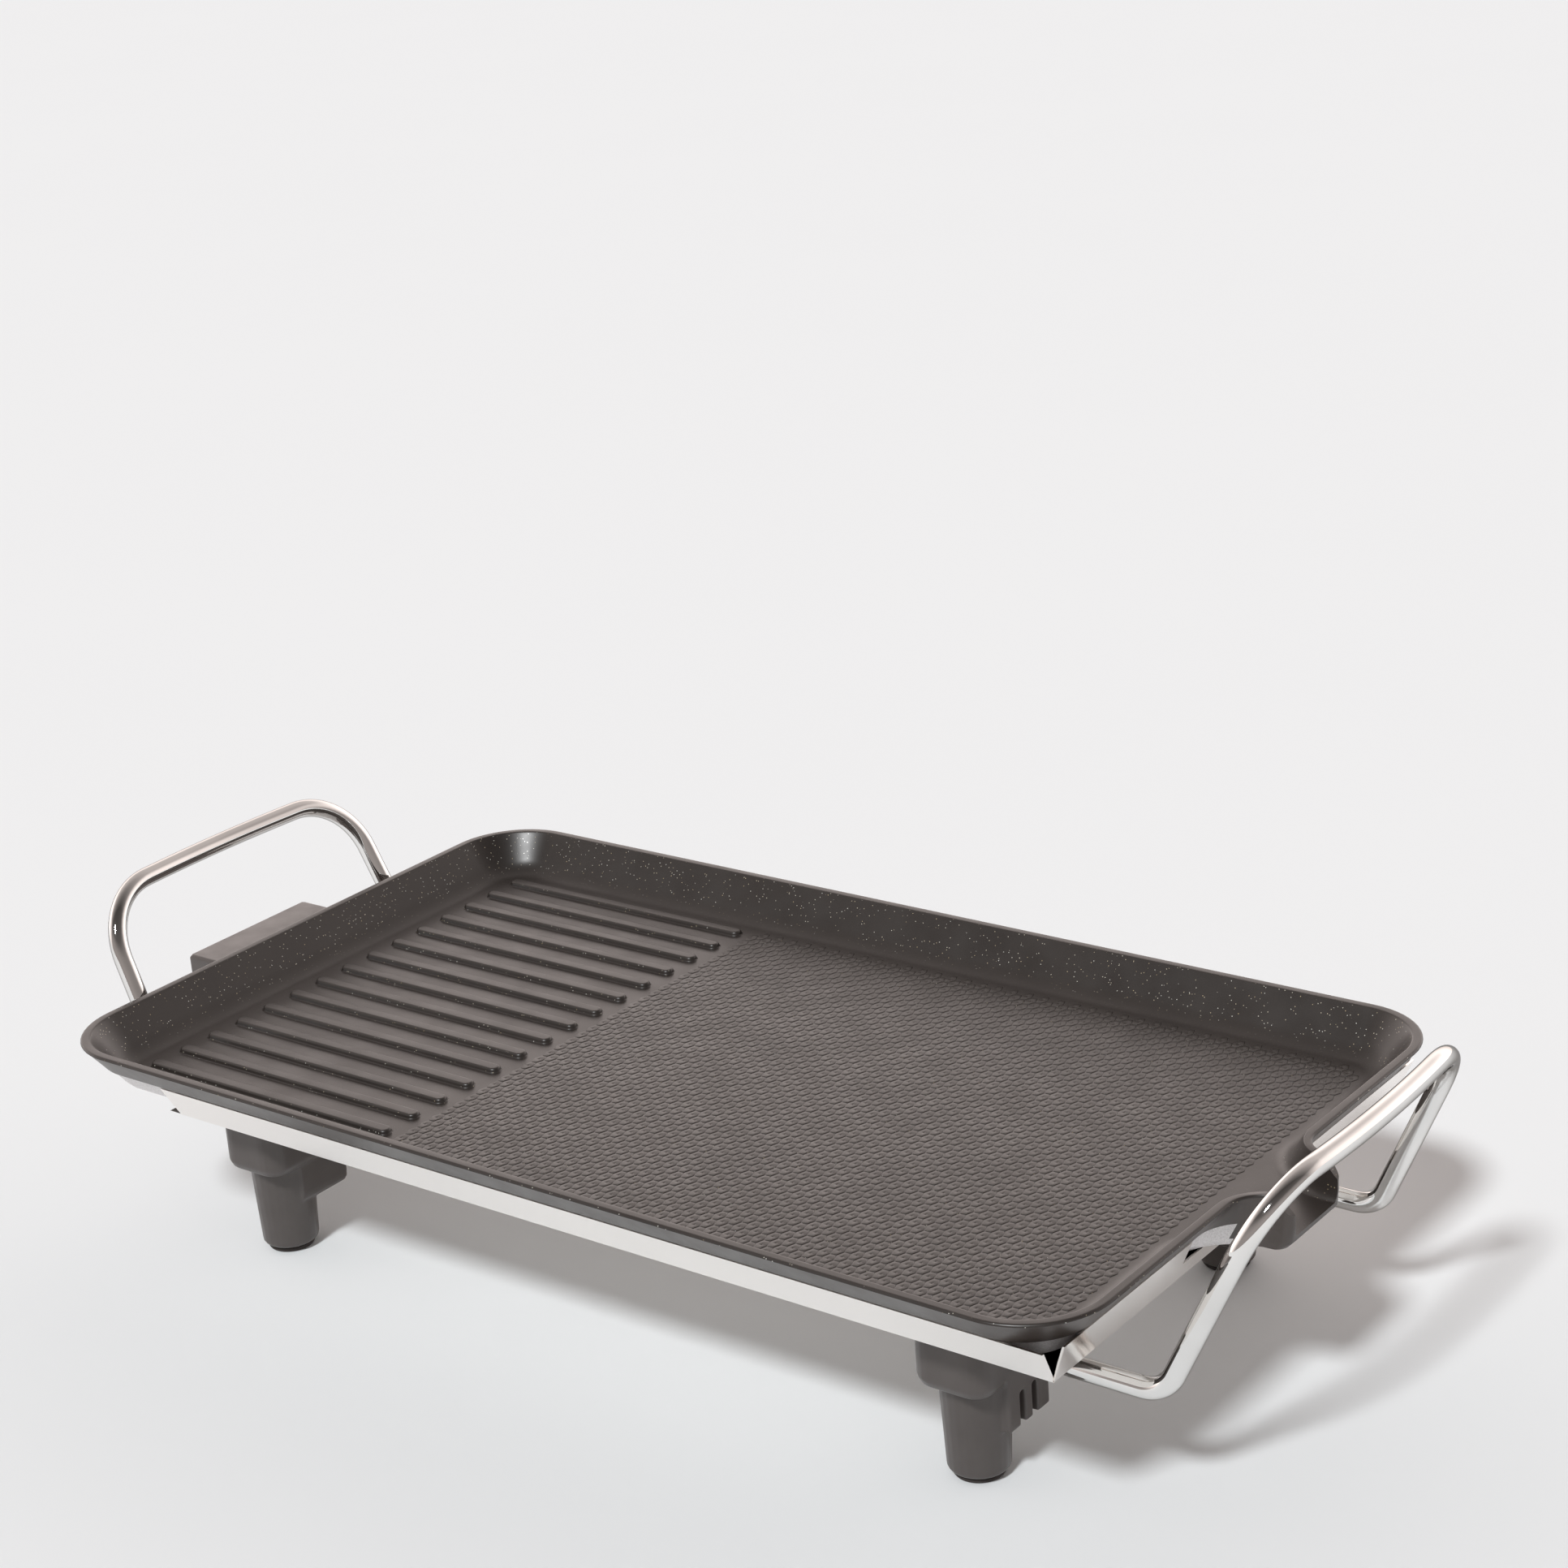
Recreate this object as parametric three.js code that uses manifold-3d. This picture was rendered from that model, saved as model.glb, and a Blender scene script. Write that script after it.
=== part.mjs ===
// Electric griddle: a cast aluminium pan, half ribbed and half embossed, with a pouring spout at one
// end and a terminal shroud at the other. A folded stainless tray hangs under the pan, four moulded
// legs carry both, and two bent wire handles plug into sockets in the legs.
// Millimetres, +Z up. The origin is on the table, under the middle of the pan. +X is the spout end.
import * as THREE from "three";
import { mergeVertices } from "three/addons/utils/BufferGeometryUtils.js";
import Module from "manifold-3d";

const wasm = await Module();
wasm.setup();

// ---------------------------------------------------------------- driving dimensions
const gap = 0.35; // between pieces that touch
// Pan
const panLength = 480;
const panWidth = 280;
const panCorner = 33; // corner radius at the rim
const rimHeight = 96.5; // top of the rim above the table
const panDepth = 15.9; // from the rim down to the cooking floor
const floorThickness = 4.8;
const rimLand = 4; // width of the rim's flat top
const wallLean = 0.72; // run of the pan wall for each millimetre of its height
const floorFillet = 13; // radius where the inner wall meets the floor
const rimChamfer = 0.6;
const lipDrop = 11.2; // height of the outer band, down to its lower edge
const lipStep = 1.5; // how far the wall steps in under the band
// Ribs
const ribPitch = 15.69;
const ribLength = 131.7;
const ribWidth = 6;
const ribRise = 1.8;
const ribBevel = 0.7;
const ribStart = 5.8; // from the floor's edge at the terminal end to the ribs
const ribSideMargin = 5; // least gap between the floor's edge and the first rib
// Spout
const spoutReach = 16.5; // past the rim's edge
const spoutThroat = 15.2; // half the channel's width
const spoutWall = 3.5;
const spoutFlareTop = 18; // radius that turns the rim into the channel
const spoutFlareFloor = 28;
const spoutTipCorner = 3.5;
const spoutTipDrop = 7; // how far the channel's sides drop at the lip
const spoutDropRun = 8;
const spoutNose = 3; // how far the lip is cut back underneath
// Stainless tray
const sheet = 0.8;
const trayTopHeight = 84.9;
const trayFoldHeight = 68;
const trayTopInset = 8.4; // from the rim's edge in to the tray's top edge
const trayFoldInsetX = 15.7; // from the rim's edge in to the fold, at the spout end
const trayFoldInsetY = 20.2; // the same, along the sides
const traySlopeHeight = 8.7;
const traySlopeRun = 15.5;
const trayShortEnd = 30; // how much earlier the tray stops at the terminal end
const trayWindow = 80; // width of the gap in its end wall for the element's ends
const sideSetback = 6; // from the tray's end at the terminal side to its flared walls
const sideShear = 4;
const cornerCutX = 3.4; // from the tray's top corner to the ends of its flared walls
const cornerCutY = 8;
const spoutRelief = 42; // half the width of the dip in the end wall under the spout
// Legs
const legInsetX = 70.3; // from the rim's edge in to the legs' centres, at the pan's ends
const legInsetY = 53.1; // the same, at its sides
const legBlockWidth = 31;
const legBlockFront = 18; // from the foot's axis to the outer face
const legBlockBack = 24; // from the foot's axis to the inner face
const legBlockCorner = 8;
const legBlockBottom = 38;
const footTopRadius = 13;
const footBottomRadius = 11.5;
const footBottom = 2.2;
const footEdge = 1.6;
const lugBottom = 20;
const lugFront = 2.5; // from the foot's axis to the lug's outer side
const lugBack = 23; // from the foot's axis to the lug's inner side
const lugRound = 6;
const slotWidth = 3;
const slotDepth = 3.5;
const slotTop = 33;
const slotSpacing = 7.6;
const padRadius = 9.5;
const padHeight = 1.85;
// Handles
const wireDiameter = 8;
const wireHeight = 46.3; // the stubs' axis above the table
const stubInset = 10.1; // from the feet's axes in to a handle's stubs
const stubReach = 70.3; // from the legs' centres to the lower bends
const gripReach = 37.7; // from the lower bends out to the grip
const gripHeight = 126.5;
const gripInset = 4.6; // from the stubs in to the ends of the grip
const gripBow = 4.4; // how far the grip bows out at its middle
const bowRadius = 640;
const lowerBend = 14;
const upperBend = 30;
const socketDepth = 22.5; // of the sockets in the legs
const socketEnd = 1; // from the wire's end to the bottom of its socket
const wireClearance = 0.35; // radial, in the sockets
// Heating element and its fixings
const elementDiameter = 6.5;
const elementInset = 70; // from the rim's edge in to the outer runs
const elementInner = 48; // between the inner runs
const elementEnds = 28; // between the two cold ends
const turnInset = 50; // from the rim's edge in to the turns at the spout end
const returnInset = 100; // to the cross run at the terminal end
const startInset = 60; // to the outer turns at the terminal end
const elementBend = 14;
const coldEndInset = 29; // from the rim's edge in to the ends of the element
const coldEndHeight = 66;
const clampPlaces = [-60, 110];
const clampWidth = 14;
const clampSheet = 1.5;
const clampOverhang = 4.7;
const bossRadius = 5;
const legBossRadius = 6.5;
// Terminal shroud
const shroudWidth = 70.4;
const shroudReach = 29.5; // past the rim's edge
const shroudTop = 88.5;
const shroudBottom = 52;
const shroudWall = 2.6;
const shroudInnerInset = 42; // from the rim's edge in to its inner end
const shroudCorner = 1.5;
const boardThickness = 3;
const boardEndInset = 24; // from the rim's edge in to the terminal board's outer face
const boardInset = 1; // between the board's ends and the shroud's inside
const pinRadius = 3;
const pinReach = 34; // past the board
const earthPinRadius = 2.4;
const earthPinHeight = 60;
const probeRadius = 3.4;
const probeBore = 2.6;
const probeLength = 68;
const bushRadius = 5.6;
const bushLength = 9;
const pillarRadius = 4;
const pillarSpread = 56;
const pillarInset = 35; // from the rim's edge in to the shroud's pillars
const strapSheet = 0.75;
// Screws
const legScrewRadius = 2.5;
const legScrewHead = 4.6;
const legScrewHeadHeight = 3.4;
const legScrewSeat = 30;
const counterboreRadius = 5.2;
const smallScrewRadius = 2;
const smallScrewHead = 3.6;
const smallScrewHeadHeight = 2.4;
const screwClearance = 0.4;

// ---------------------------------------------------------------- derived places
const quarter = Math.PI / 2;
const rimX = panLength / 2;
const rimY = panWidth / 2;
const floorTop = rimHeight - panDepth;
const floorUnder = floorTop - floorThickness;
const lipHeight = rimHeight - lipDrop;
const outerInset = (z) => (rimHeight - z) * wallLean;
const innerInset = (z) => rimLand + (rimHeight - z) * wallLean;
const underX = rimX - outerInset(floorUnder) - lipStep;
const wallAngle = Math.atan2(1, wallLean);
const filletTangent = floorFillet * Math.tan(wallAngle / 2);
const floorInset = innerInset(floorTop) + filletTangent;
const spoutTip = rimX + spoutReach;
const legX = rimX - legInsetX;
const legY = rimY - legInsetY;
const stubY = legY - stubInset;
const gripY = stubY - gripInset;
const elementOuter = 2 * (rimY - elementInset);
const elementReach = rimX - turnInset;
const elementReturn = rimX - returnInset;
const elementStart = rimX - startInset;
const coldEndPlace = rimX - coldEndInset;
const shroudInnerEnd = rimX - shroudInnerInset;
const boardPlace = rimX - boardEndInset;
const pillarPlace = rimX - pillarInset;
const trayTopX = rimX - trayTopInset;
const trayTopY = rimY - trayTopInset;
const trayFoldX = rimX - trayFoldInsetX;
const trayFoldY = rimY - trayFoldInsetY;
const trayStart = -(trayFoldX - trayShortEnd);
const trayBottom = trayFoldHeight - traySlopeHeight;
const bellyTop = trayBottom + sheet;
const legTop = trayBottom - gap;
const wireRadius = wireDiameter / 2;
const socketBottom = legBlockWidth / 2 - socketDepth; // from the foot's axis
const elementRadius = elementDiameter / 2;
const elementHeight = floorUnder - gap - elementRadius;
const clampTop = elementHeight - elementRadius - gap;
const clampBottom = clampTop - clampSheet;
const clampY = (elementOuter + elementInner) / 4;
const boardFront = -boardPlace + boardThickness;
const probeHeight = floorUnder - gap - probeRadius;
const shroudOuter = -(rimX + shroudReach);
const shroudHalf = shroudWidth / 2;
const shroudFloor = shroudBottom + shroudWall;
const pillarY = pillarSpread / 2;
const smallScrewHole = smallScrewRadius + screwClearance;
const strapTop = shroudFloor + gap + strapSheet;

// ---------------------------------------------------------------- solids from three.js geometry
function solid(geometry) {
  const g = geometry.clone();
  g.deleteAttribute("normal");
  g.deleteAttribute("uv");
  const merged = mergeVertices(g, 1e-4);
  const index = new Uint32Array(merged.index.array);
  return new wasm.Manifold(
    new wasm.Mesh({ numProp: 3, vertProperties: merged.attributes.position.array, triVerts: index }),
  );
}

function geometryOf(body) {
  const mesh = body.getMesh();
  const g = new THREE.BufferGeometry();
  g.setAttribute("position", new THREE.BufferAttribute(new Float32Array(mesh.vertProperties), 3));
  g.setIndex(new THREE.BufferAttribute(new Uint32Array(mesh.triVerts), 1));
  g.computeVertexNormals();
  return g;
}

function joined(...bodies) {
  return bodies.reduce((sum, body) => sum.add(body));
}

// A box from its lowest to its highest corner.
function block([x0, y0, z0], [x1, y1, z1]) {
  const g = new THREE.BoxGeometry(x1 - x0, y1 - y0, z1 - z0);
  g.translate((x0 + x1) / 2, (y0 + y1) / 2, (z0 + z1) / 2);
  return solid(g);
}

// A round bar along "x", "y" or "z", from one end to the other, through the other two coordinates.
function bar(axis, radius, from, to, [a, b], sides = 20) {
  const g = new THREE.CylinderGeometry(radius, radius, to - from, sides);
  const middle = (from + to) / 2;
  if (axis === "z") g.rotateX(Math.PI / 2).translate(a, b, middle);
  if (axis === "x") g.rotateZ(-Math.PI / 2).translate(middle, a, b);
  if (axis === "y") g.translate(a, middle, b);
  return solid(g);
}

// A turned piece on a vertical axis: points are [radius, height], closed on the axis.
function turned(points, [x, y], sides = 28) {
  const profile = points.map(([r, z]) => new THREE.Vector2(r, z));
  const g = new THREE.LatheGeometry(profile, sides);
  g.rotateX(Math.PI / 2).translate(x, y, 0);
  return solid(g);
}

// An outline in the XY plane, raised from one height to another.
function raised(points, z0, z1) {
  const g = new THREE.ExtrudeGeometry(new THREE.Shape(points), { depth: z1 - z0, bevelEnabled: false });
  g.translate(0, 0, z0);
  return solid(g);
}

// An outline in the YZ plane, drawn along X.
function alongX(points, x0, x1) {
  const shape = new THREE.Shape(points.map(([y, z]) => new THREE.Vector2(y, z)));
  const g = new THREE.ExtrudeGeometry(shape, { depth: x1 - x0, bevelEnabled: false });
  g.applyMatrix4(new THREE.Matrix4().set(0, 0, 1, x0, 1, 0, 0, 0, 0, 1, 0, 0, 0, 0, 0, 1));
  return solid(g);
}

// An outline in the XZ plane, drawn along Y.
function alongY(points, y0, y1) {
  const shape = new THREE.Shape(points.map(([x, z]) => new THREE.Vector2(x, z)));
  const g = new THREE.ExtrudeGeometry(shape, { depth: y1 - y0, bevelEnabled: false });
  g.applyMatrix4(new THREE.Matrix4().set(1, 0, 0, 0, 0, 0, -1, y1, 0, 1, 0, 0, 0, 0, 0, 1));
  return solid(g);
}

function arc(cx, cy, radius, from, to, steps) {
  return Array.from({ length: steps + 1 }, (_, i) => {
    const a = from + ((to - from) * i) / steps;
    return new THREE.Vector2(cx + radius * Math.cos(a), cy + radius * Math.sin(a));
  });
}

function roundedRect(halfX, halfY, radius, cx = 0, cy = 0, steps = 6) {
  const corners = [
    [1, 1],
    [-1, 1],
    [-1, -1],
    [1, -1],
  ];
  return corners.flatMap(([sx, sy], i) =>
    arc(
      cx + sx * (halfX - radius),
      cy + sy * (halfY - radius),
      radius,
      i * quarter,
      (i + 1) * quarter,
      steps,
    ),
  );
}

// A closed solid through outlines with equal point counts, from the lowest level to the highest.
function loft(levels) {
  const count = levels[0].outline.length;
  const positions = levels.flatMap(({ outline, z }) => outline.flatMap((p) => [p.x, p.y, z]));
  const index = [];
  for (let k = 0; k + 1 < levels.length; k++) {
    for (let i = 0; i < count; i++) {
      const j = (i + 1) % count;
      const a = k * count + i;
      const b = k * count + j;
      index.push(a, b, b + count, a, b + count, a + count);
    }
  }
  const cap = (level, offset, up) => {
    for (const [a, b, c] of THREE.ShapeUtils.triangulateShape(level.outline, [])) {
      index.push(...(up ? [offset + a, offset + b, offset + c] : [offset + a, offset + c, offset + b]));
    }
  };
  cap(levels[0], 0, false);
  cap(levels[levels.length - 1], (levels.length - 1) * count, true);
  const g = new THREE.BufferGeometry();
  g.setAttribute("position", new THREE.BufferAttribute(new Float32Array(positions), 3));
  g.setIndex(index);
  return solid(g);
}

// Points along straight runs through the corners, each bend turned with the corner's radius.
function bentPoints(corners, steps) {
  const at = corners.map((corner) => new THREE.Vector3(...corner.at));
  const points = [at[0]];
  for (let i = 1; i < at.length - 1; i++) {
    const into = at[i].clone().sub(at[i - 1]).normalize();
    const out = at[i + 1].clone().sub(at[i]).normalize();
    const turn = into.angleTo(out);
    const radius = corners[i].radius;
    const start = at[i].clone().addScaledVector(into, -radius * Math.tan(turn / 2));
    const side = out.clone().addScaledVector(into, -out.dot(into)).normalize();
    for (let k = 0; k <= steps; k++) {
      const a = (turn * k) / steps;
      const along = radius * Math.sin(a);
      const across = radius * (1 - Math.cos(a));
      points.push(start.clone().addScaledVector(into, along).addScaledVector(side, across));
    }
  }
  points.push(at[at.length - 1]);
  return points;
}

// A round wire along points, its section carried from point to point without twisting.
function wire(points, radius, sides) {
  const last = points.length - 1;
  const tangents = points.map((_, i) =>
    points[Math.min(i + 1, last)].clone().sub(points[Math.max(i - 1, 0)]).normalize(),
  );
  const positions = [];
  const index = [];
  let across = new THREE.Vector3(0, 0, 1).cross(tangents[0]).normalize();
  points.forEach((p, i) => {
    across = across.clone().addScaledVector(tangents[i], -across.dot(tangents[i])).normalize();
    const up = tangents[i].clone().cross(across);
    for (let k = 0; k < sides; k++) {
      const a = (2 * Math.PI * k) / sides;
      const v = p.clone().addScaledVector(across, radius * Math.cos(a));
      v.addScaledVector(up, radius * Math.sin(a));
      positions.push(v.x, v.y, v.z);
    }
  });
  for (let i = 0; i < last; i++) {
    for (let k = 0; k < sides; k++) {
      const a = i * sides + k;
      const b = i * sides + ((k + 1) % sides);
      index.push(a, b, b + sides, a, b + sides, a + sides);
    }
  }
  for (let k = 1; k + 1 < sides; k++) {
    index.push(0, k + 1, k);
    index.push(last * sides, last * sides + k, last * sides + k + 1);
  }
  const g = new THREE.BufferGeometry();
  g.setAttribute("position", new THREE.BufferAttribute(new Float32Array(positions), 3));
  g.setIndex(index);
  return solid(g);
}

// A screw with its head underneath: the head's underside at headBottom, the shank up to tip.
function screw(headRadius, headHeight, shankRadius, headBottom, tip, [x, y]) {
  const neck = headBottom + headHeight;
  return turned(
    [
      [0, headBottom],
      [headRadius * 0.8, headBottom],
      [headRadius, headBottom + headHeight * 0.4],
      [headRadius, neck],
      [shankRadius, neck],
      [shankRadius, tip - 1],
      [shankRadius - 0.8, tip],
      [0, tip],
    ],
    [x, y],
    12,
  );
}

// ---------------------------------------------------------------- assembly
const griddle = new THREE.Group();
const finishes = {
  coating: { color: 0x6e655f, roughness: 0.55, metalness: 0.1 },
  stainless: { color: 0xd8d2ca, roughness: 0.22, metalness: 1 },
  chrome: { color: 0xe8e8e6, roughness: 0.06, metalness: 1 },
  phenolic: { color: 0x554f4d, roughness: 0.45, metalness: 0 },
  rubber: { color: 0x2c2a29, roughness: 0.85, metalness: 0 },
  steel: { color: 0xb5b3ae, roughness: 0.35, metalness: 1 },
  sheath: { color: 0x5f6a5c, roughness: 0.5, metalness: 0.8 },
  ceramic: { color: 0xece6d8, roughness: 0.6, metalness: 0 },
  brass: { color: 0xb89a57, roughness: 0.3, metalness: 1 },
};

function add(name, body, finish) {
  const mesh = new THREE.Mesh(geometryOf(body), new THREE.MeshStandardMaterial(finishes[finish]));
  mesh.name = name;
  griddle.add(mesh);
  return mesh;
}

// The four quarters of the table, each with its place in the pieces' names.
const quarters = [
  { name: "front_left", sx: -1, sy: -1 },
  { name: "front_right", sx: 1, sy: -1 },
  { name: "back_left", sx: -1, sy: 1 },
  { name: "back_right", sx: 1, sy: 1 },
];

// ---------------------------------------------------------------- pan
// The pan's plan outline, drawn in by an inset. At the spout end it flares into a channel.
function panOutline({ inset, flare, throat, tip }) {
  const edgeX = rimX - inset;
  const edgeY = rimY - inset;
  const r = Math.max(panCorner - inset, 3);
  const bend = Math.min(flare, tip - spoutTipCorner - edgeX - 0.5);
  const steps = 6;
  return [
    ...arc(tip - spoutTipCorner, throat - spoutTipCorner, spoutTipCorner, 0, quarter, 3),
    ...arc(edgeX + bend, throat + bend, bend, -quarter, -2 * quarter, steps),
    ...arc(edgeX - r, edgeY - r, r, 0, quarter, steps),
    ...arc(-edgeX + r, edgeY - r, r, quarter, 2 * quarter, steps),
    ...arc(-edgeX + r, -edgeY + r, r, 2 * quarter, 3 * quarter, steps),
    ...arc(edgeX - r, -edgeY + r, r, 3 * quarter, 4 * quarter, steps),
    ...arc(edgeX + bend, -throat - bend, bend, 2 * quarter, quarter, steps),
    ...arc(tip - spoutTipCorner, -throat + spoutTipCorner, spoutTipCorner, -quarter, 0, 3),
  ];
}

function flareAt(z) {
  return THREE.MathUtils.lerp(spoutFlareTop, spoutFlareFloor, (rimHeight - z) / panDepth);
}

function outerLevel(z, step, nose) {
  const inset = outerInset(z) + step;
  const outline = panOutline({
    inset,
    flare: flareAt(z) - spoutWall,
    throat: spoutThroat + spoutWall,
    tip: spoutTip - nose,
  });
  return { outline, z };
}

function cavityLevel(z, extra) {
  const outline = panOutline({
    inset: innerInset(z) + extra,
    flare: flareAt(z) + extra,
    throat: spoutThroat - 0.3 * extra,
    tip: spoutTip + spoutReach,
  });
  return { outline, z };
}

function panOuter() {
  return loft([
    outerLevel(floorUnder, lipStep, spoutNose),
    outerLevel(floorUnder + spoutNose, lipStep, 0),
    outerLevel(lipHeight - 0.05, lipStep, 0),
    outerLevel(lipHeight, 0, 0),
    outerLevel(rimHeight - rimChamfer, -outerInset(rimHeight - rimChamfer), 0),
    outerLevel(rimHeight, rimChamfer, rimChamfer),
  ]);
}

function panCavity() {
  const fillet = [0, 1, 2, 3].map((i) => {
    const a = (wallAngle * i) / 3;
    const z = floorTop + floorFillet * (1 - Math.cos(a));
    return cavityLevel(z, floorInset - floorFillet * Math.sin(a) - innerInset(z));
  });
  return loft([...fillet, cavityLevel(rimHeight + 1, 0)]);
}

function spoutDrop() {
  const profile = [
    [spoutTip - spoutDropRun, rimHeight + 1],
    [spoutTip - spoutDropRun, rimHeight],
    [spoutTip + 1, rimHeight - spoutTipDrop * (1 + 1 / spoutDropRun)],
    [spoutTip + 1, rimHeight + 1],
  ];
  return alongY(profile, -spoutFlareFloor, spoutFlareFloor);
}

function ribs() {
  const room = 2 * (rimY - floorInset - ribSideMargin) - ribWidth;
  const count = Math.floor(room / ribPitch) + 1;
  const left = -(rimX - floorInset) + ribStart;
  const level = (inset, z) => {
    const radius = ribWidth / 2 - inset;
    return { outline: roundedRect(ribLength / 2 - inset, radius, radius, 0, 0, 3), z };
  };
  const rib = loft([
    level(0, floorTop - 0.5),
    level(0, floorTop + ribRise - ribBevel),
    level(ribBevel, floorTop + ribRise),
  ]);
  return Array.from({ length: count }, (_, i) =>
    rib.translate(left + ribLength / 2, (i - (count - 1) / 2) * ribPitch, 0),
  );
}

// A cast boss under the pan, with a blind hole for its screw.
function bossed(body, x, y, radius, bottom, hole, holeTop) {
  const boss = bar("z", radius, bottom, floorUnder + 1, [x, y], 20);
  return body.add(boss).subtract(bar("z", hole, bottom - 1, holeTop, [x, y], 16));
}

function plate() {
  let body = joined(panOuter().subtract(panCavity()), ...ribs()).subtract(spoutDrop());
  for (const { sx, sy } of quarters) {
    const bottom = bellyTop + gap;
    body = bossed(body, sx * legX, sy * legY, legBossRadius, bottom, legScrewRadius + gap, floorUnder - 2);
  }
  for (const x of clampPlaces) {
    for (const side of [-1, 1]) {
      const bottom = clampTop + gap;
      body = bossed(body, x, side * clampY, bossRadius, bottom, smallScrewRadius + gap, floorUnder - 1.2);
    }
  }
  const hole = smallScrewRadius + gap;
  body = bossed(body, -pillarPlace, -pillarY, pillarRadius, shroudFloor + gap, hole, shroudFloor + 12);
  body = bossed(body, -pillarPlace, pillarY, pillarRadius, strapTop + gap, hole, shroudFloor + 12);
  return body;
}

add("griddle_plate", plate(), "coating");

// ---------------------------------------------------------------- stainless tray
function rectangle(x0, y0, x1, y1) {
  return [
    [x0, y0],
    [x1, y0],
    [x1, y1],
    [x0, y1],
  ].map(([x, y]) => new THREE.Vector2(x, y));
}

// The belly's plan at a height, drawn in by the sheet where it slopes and at its upright end.
function bellyLevel(z, slopeSheet, endSheet) {
  const run = (traySlopeRun * (trayFoldHeight - z)) / traySlopeHeight + slopeSheet;
  const outline = rectangle(trayStart + endSheet, -(trayFoldY - run), trayFoldX - run, trayFoldY - run);
  return { outline, z };
}

// A flared wall along a side: its ends move as it rises.
function sideWall(side) {
  const lean = (trayTopY - trayFoldY) / (trayTopHeight - trayFoldHeight);
  const thickness = sheet * Math.hypot(1, lean);
  const level = (z, x0, x1) => {
    const outer = trayFoldY + (z - trayFoldHeight) * lean;
    const [a, b] = side > 0 ? [outer - thickness, outer] : [-outer, -outer + thickness];
    return { outline: rectangle(x0, a, x1, b), z };
  };
  const start = trayStart + sideSetback;
  return loft([
    level(trayFoldHeight - sheet / 2, start, trayFoldX - gap),
    level(trayTopHeight, start + sideShear, trayTopX - cornerCutX),
  ]);
}

function endWall() {
  const lean = (trayTopX - trayFoldX) / (trayTopHeight - trayFoldHeight);
  const thickness = sheet * Math.hypot(1, lean);
  const level = (z, y) => {
    const outer = trayFoldX + (z - trayFoldHeight) * lean;
    return { outline: rectangle(outer - thickness, -y, outer, y), z };
  };
  const low = level(trayFoldHeight - sheet / 2, trayFoldY - gap);
  return loft([low, level(trayTopHeight, trayTopY - cornerCutY)]);
}

function tray() {
  const slopeSheet = sheet * Math.hypot(1, traySlopeRun / traySlopeHeight);
  const outside = loft([bellyLevel(trayBottom, 0, 0), bellyLevel(trayFoldHeight, 0, 0)]);
  const inside = loft([
    bellyLevel(bellyTop, slopeSheet, sheet),
    bellyLevel(trayFoldHeight + 0.3, slopeSheet, sheet),
  ]);
  const relief = block(
    [trayFoldX - 5, -spoutRelief, floorUnder - 1.5 * gap],
    [trayTopX + 5, spoutRelief, rimHeight],
  );
  const window = block(
    [trayStart - 1, -trayWindow / 2, bellyTop + 1],
    [trayStart + 3, trayWindow / 2, trayFoldHeight + 1],
  );
  let body = joined(outside.subtract(inside), sideWall(-1), sideWall(1), endWall()).subtract(relief);
  body = body.subtract(window);
  for (const { sx, sy } of quarters) {
    const hole = legScrewRadius + screwClearance;
    body = body.subtract(bar("z", hole, trayBottom - 1, bellyTop + 1, [sx * legX, sy * legY], 20));
  }
  return body;
}

add("heat_shield_tray", tray(), "stainless");

// ---------------------------------------------------------------- legs
// One leg, about its foot's axis: +X faces the near end of the griddle and +Y the near side.
function leg() {
  const half = legBlockWidth / 2;
  const middle = (legBlockFront - legBlockBack) / 2;
  const depth = (legBlockFront + legBlockBack) / 2;
  const level = (inset, z) => ({
    outline: roundedRect(half - inset, depth - inset, legBlockCorner - inset, 0, middle, 5),
    z,
  });
  const top = loft([
    level(4, legBlockBottom),
    level(1.3, legBlockBottom + 1.3),
    level(0, legBlockBottom + 4),
    level(0, legTop),
  ]);
  const rounded = arc(-half + 2 + lugRound, lugBottom + lugRound, lugRound, 2 * quarter, 3 * quarter, 4);
  const lugProfile = [
    [half, lugBottom],
    [half, legBlockBottom + 6],
    [-half + 2, legBlockBottom + 6],
    ...rounded.map((p) => [p.x, p.y]),
  ];
  const lug = alongY(lugProfile, -lugBack, lugFront);
  const foot = turned(
    [
      [0, footBottom],
      [footBottomRadius - footEdge, footBottom],
      [footBottomRadius - 0.4 * footEdge, footBottom + 0.4 * footEdge],
      [footBottomRadius, footBottom + footEdge],
      [footTopRadius, legBlockBottom + 2],
      [0, legBlockBottom + 2],
    ],
    [0, 0],
    24,
  );
  let body = joined(top, lug, foot);
  for (const side of [-1, 1]) {
    const y = -stubInset + (side * slotSpacing) / 2;
    body = body.subtract(
      block([half - slotDepth, y - slotWidth / 2, lugBottom - 1], [half + 1, y + slotWidth / 2, slotTop]),
    );
  }
  const bore = wireRadius + wireClearance;
  body = body.subtract(bar("x", bore, socketBottom, half + 1, [-stubInset, wireHeight], 24));
  body = body.subtract(bar("z", counterboreRadius, footBottom - 1, legScrewSeat, [0, 0], 24));
  return body.subtract(bar("z", legScrewRadius + screwClearance, footBottom - 1, legTop + 1, [0, 0], 20));
}

function footPad() {
  const stem = counterboreRadius - gap;
  return turned(
    [
      [0, 0],
      [padRadius - 1, 0],
      [padRadius, 1],
      [padRadius, padHeight],
      [stem, padHeight],
      [stem, footBottom + 8.4],
      [0, footBottom + 8.4],
    ],
    [0, 0],
    20,
  );
}

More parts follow.
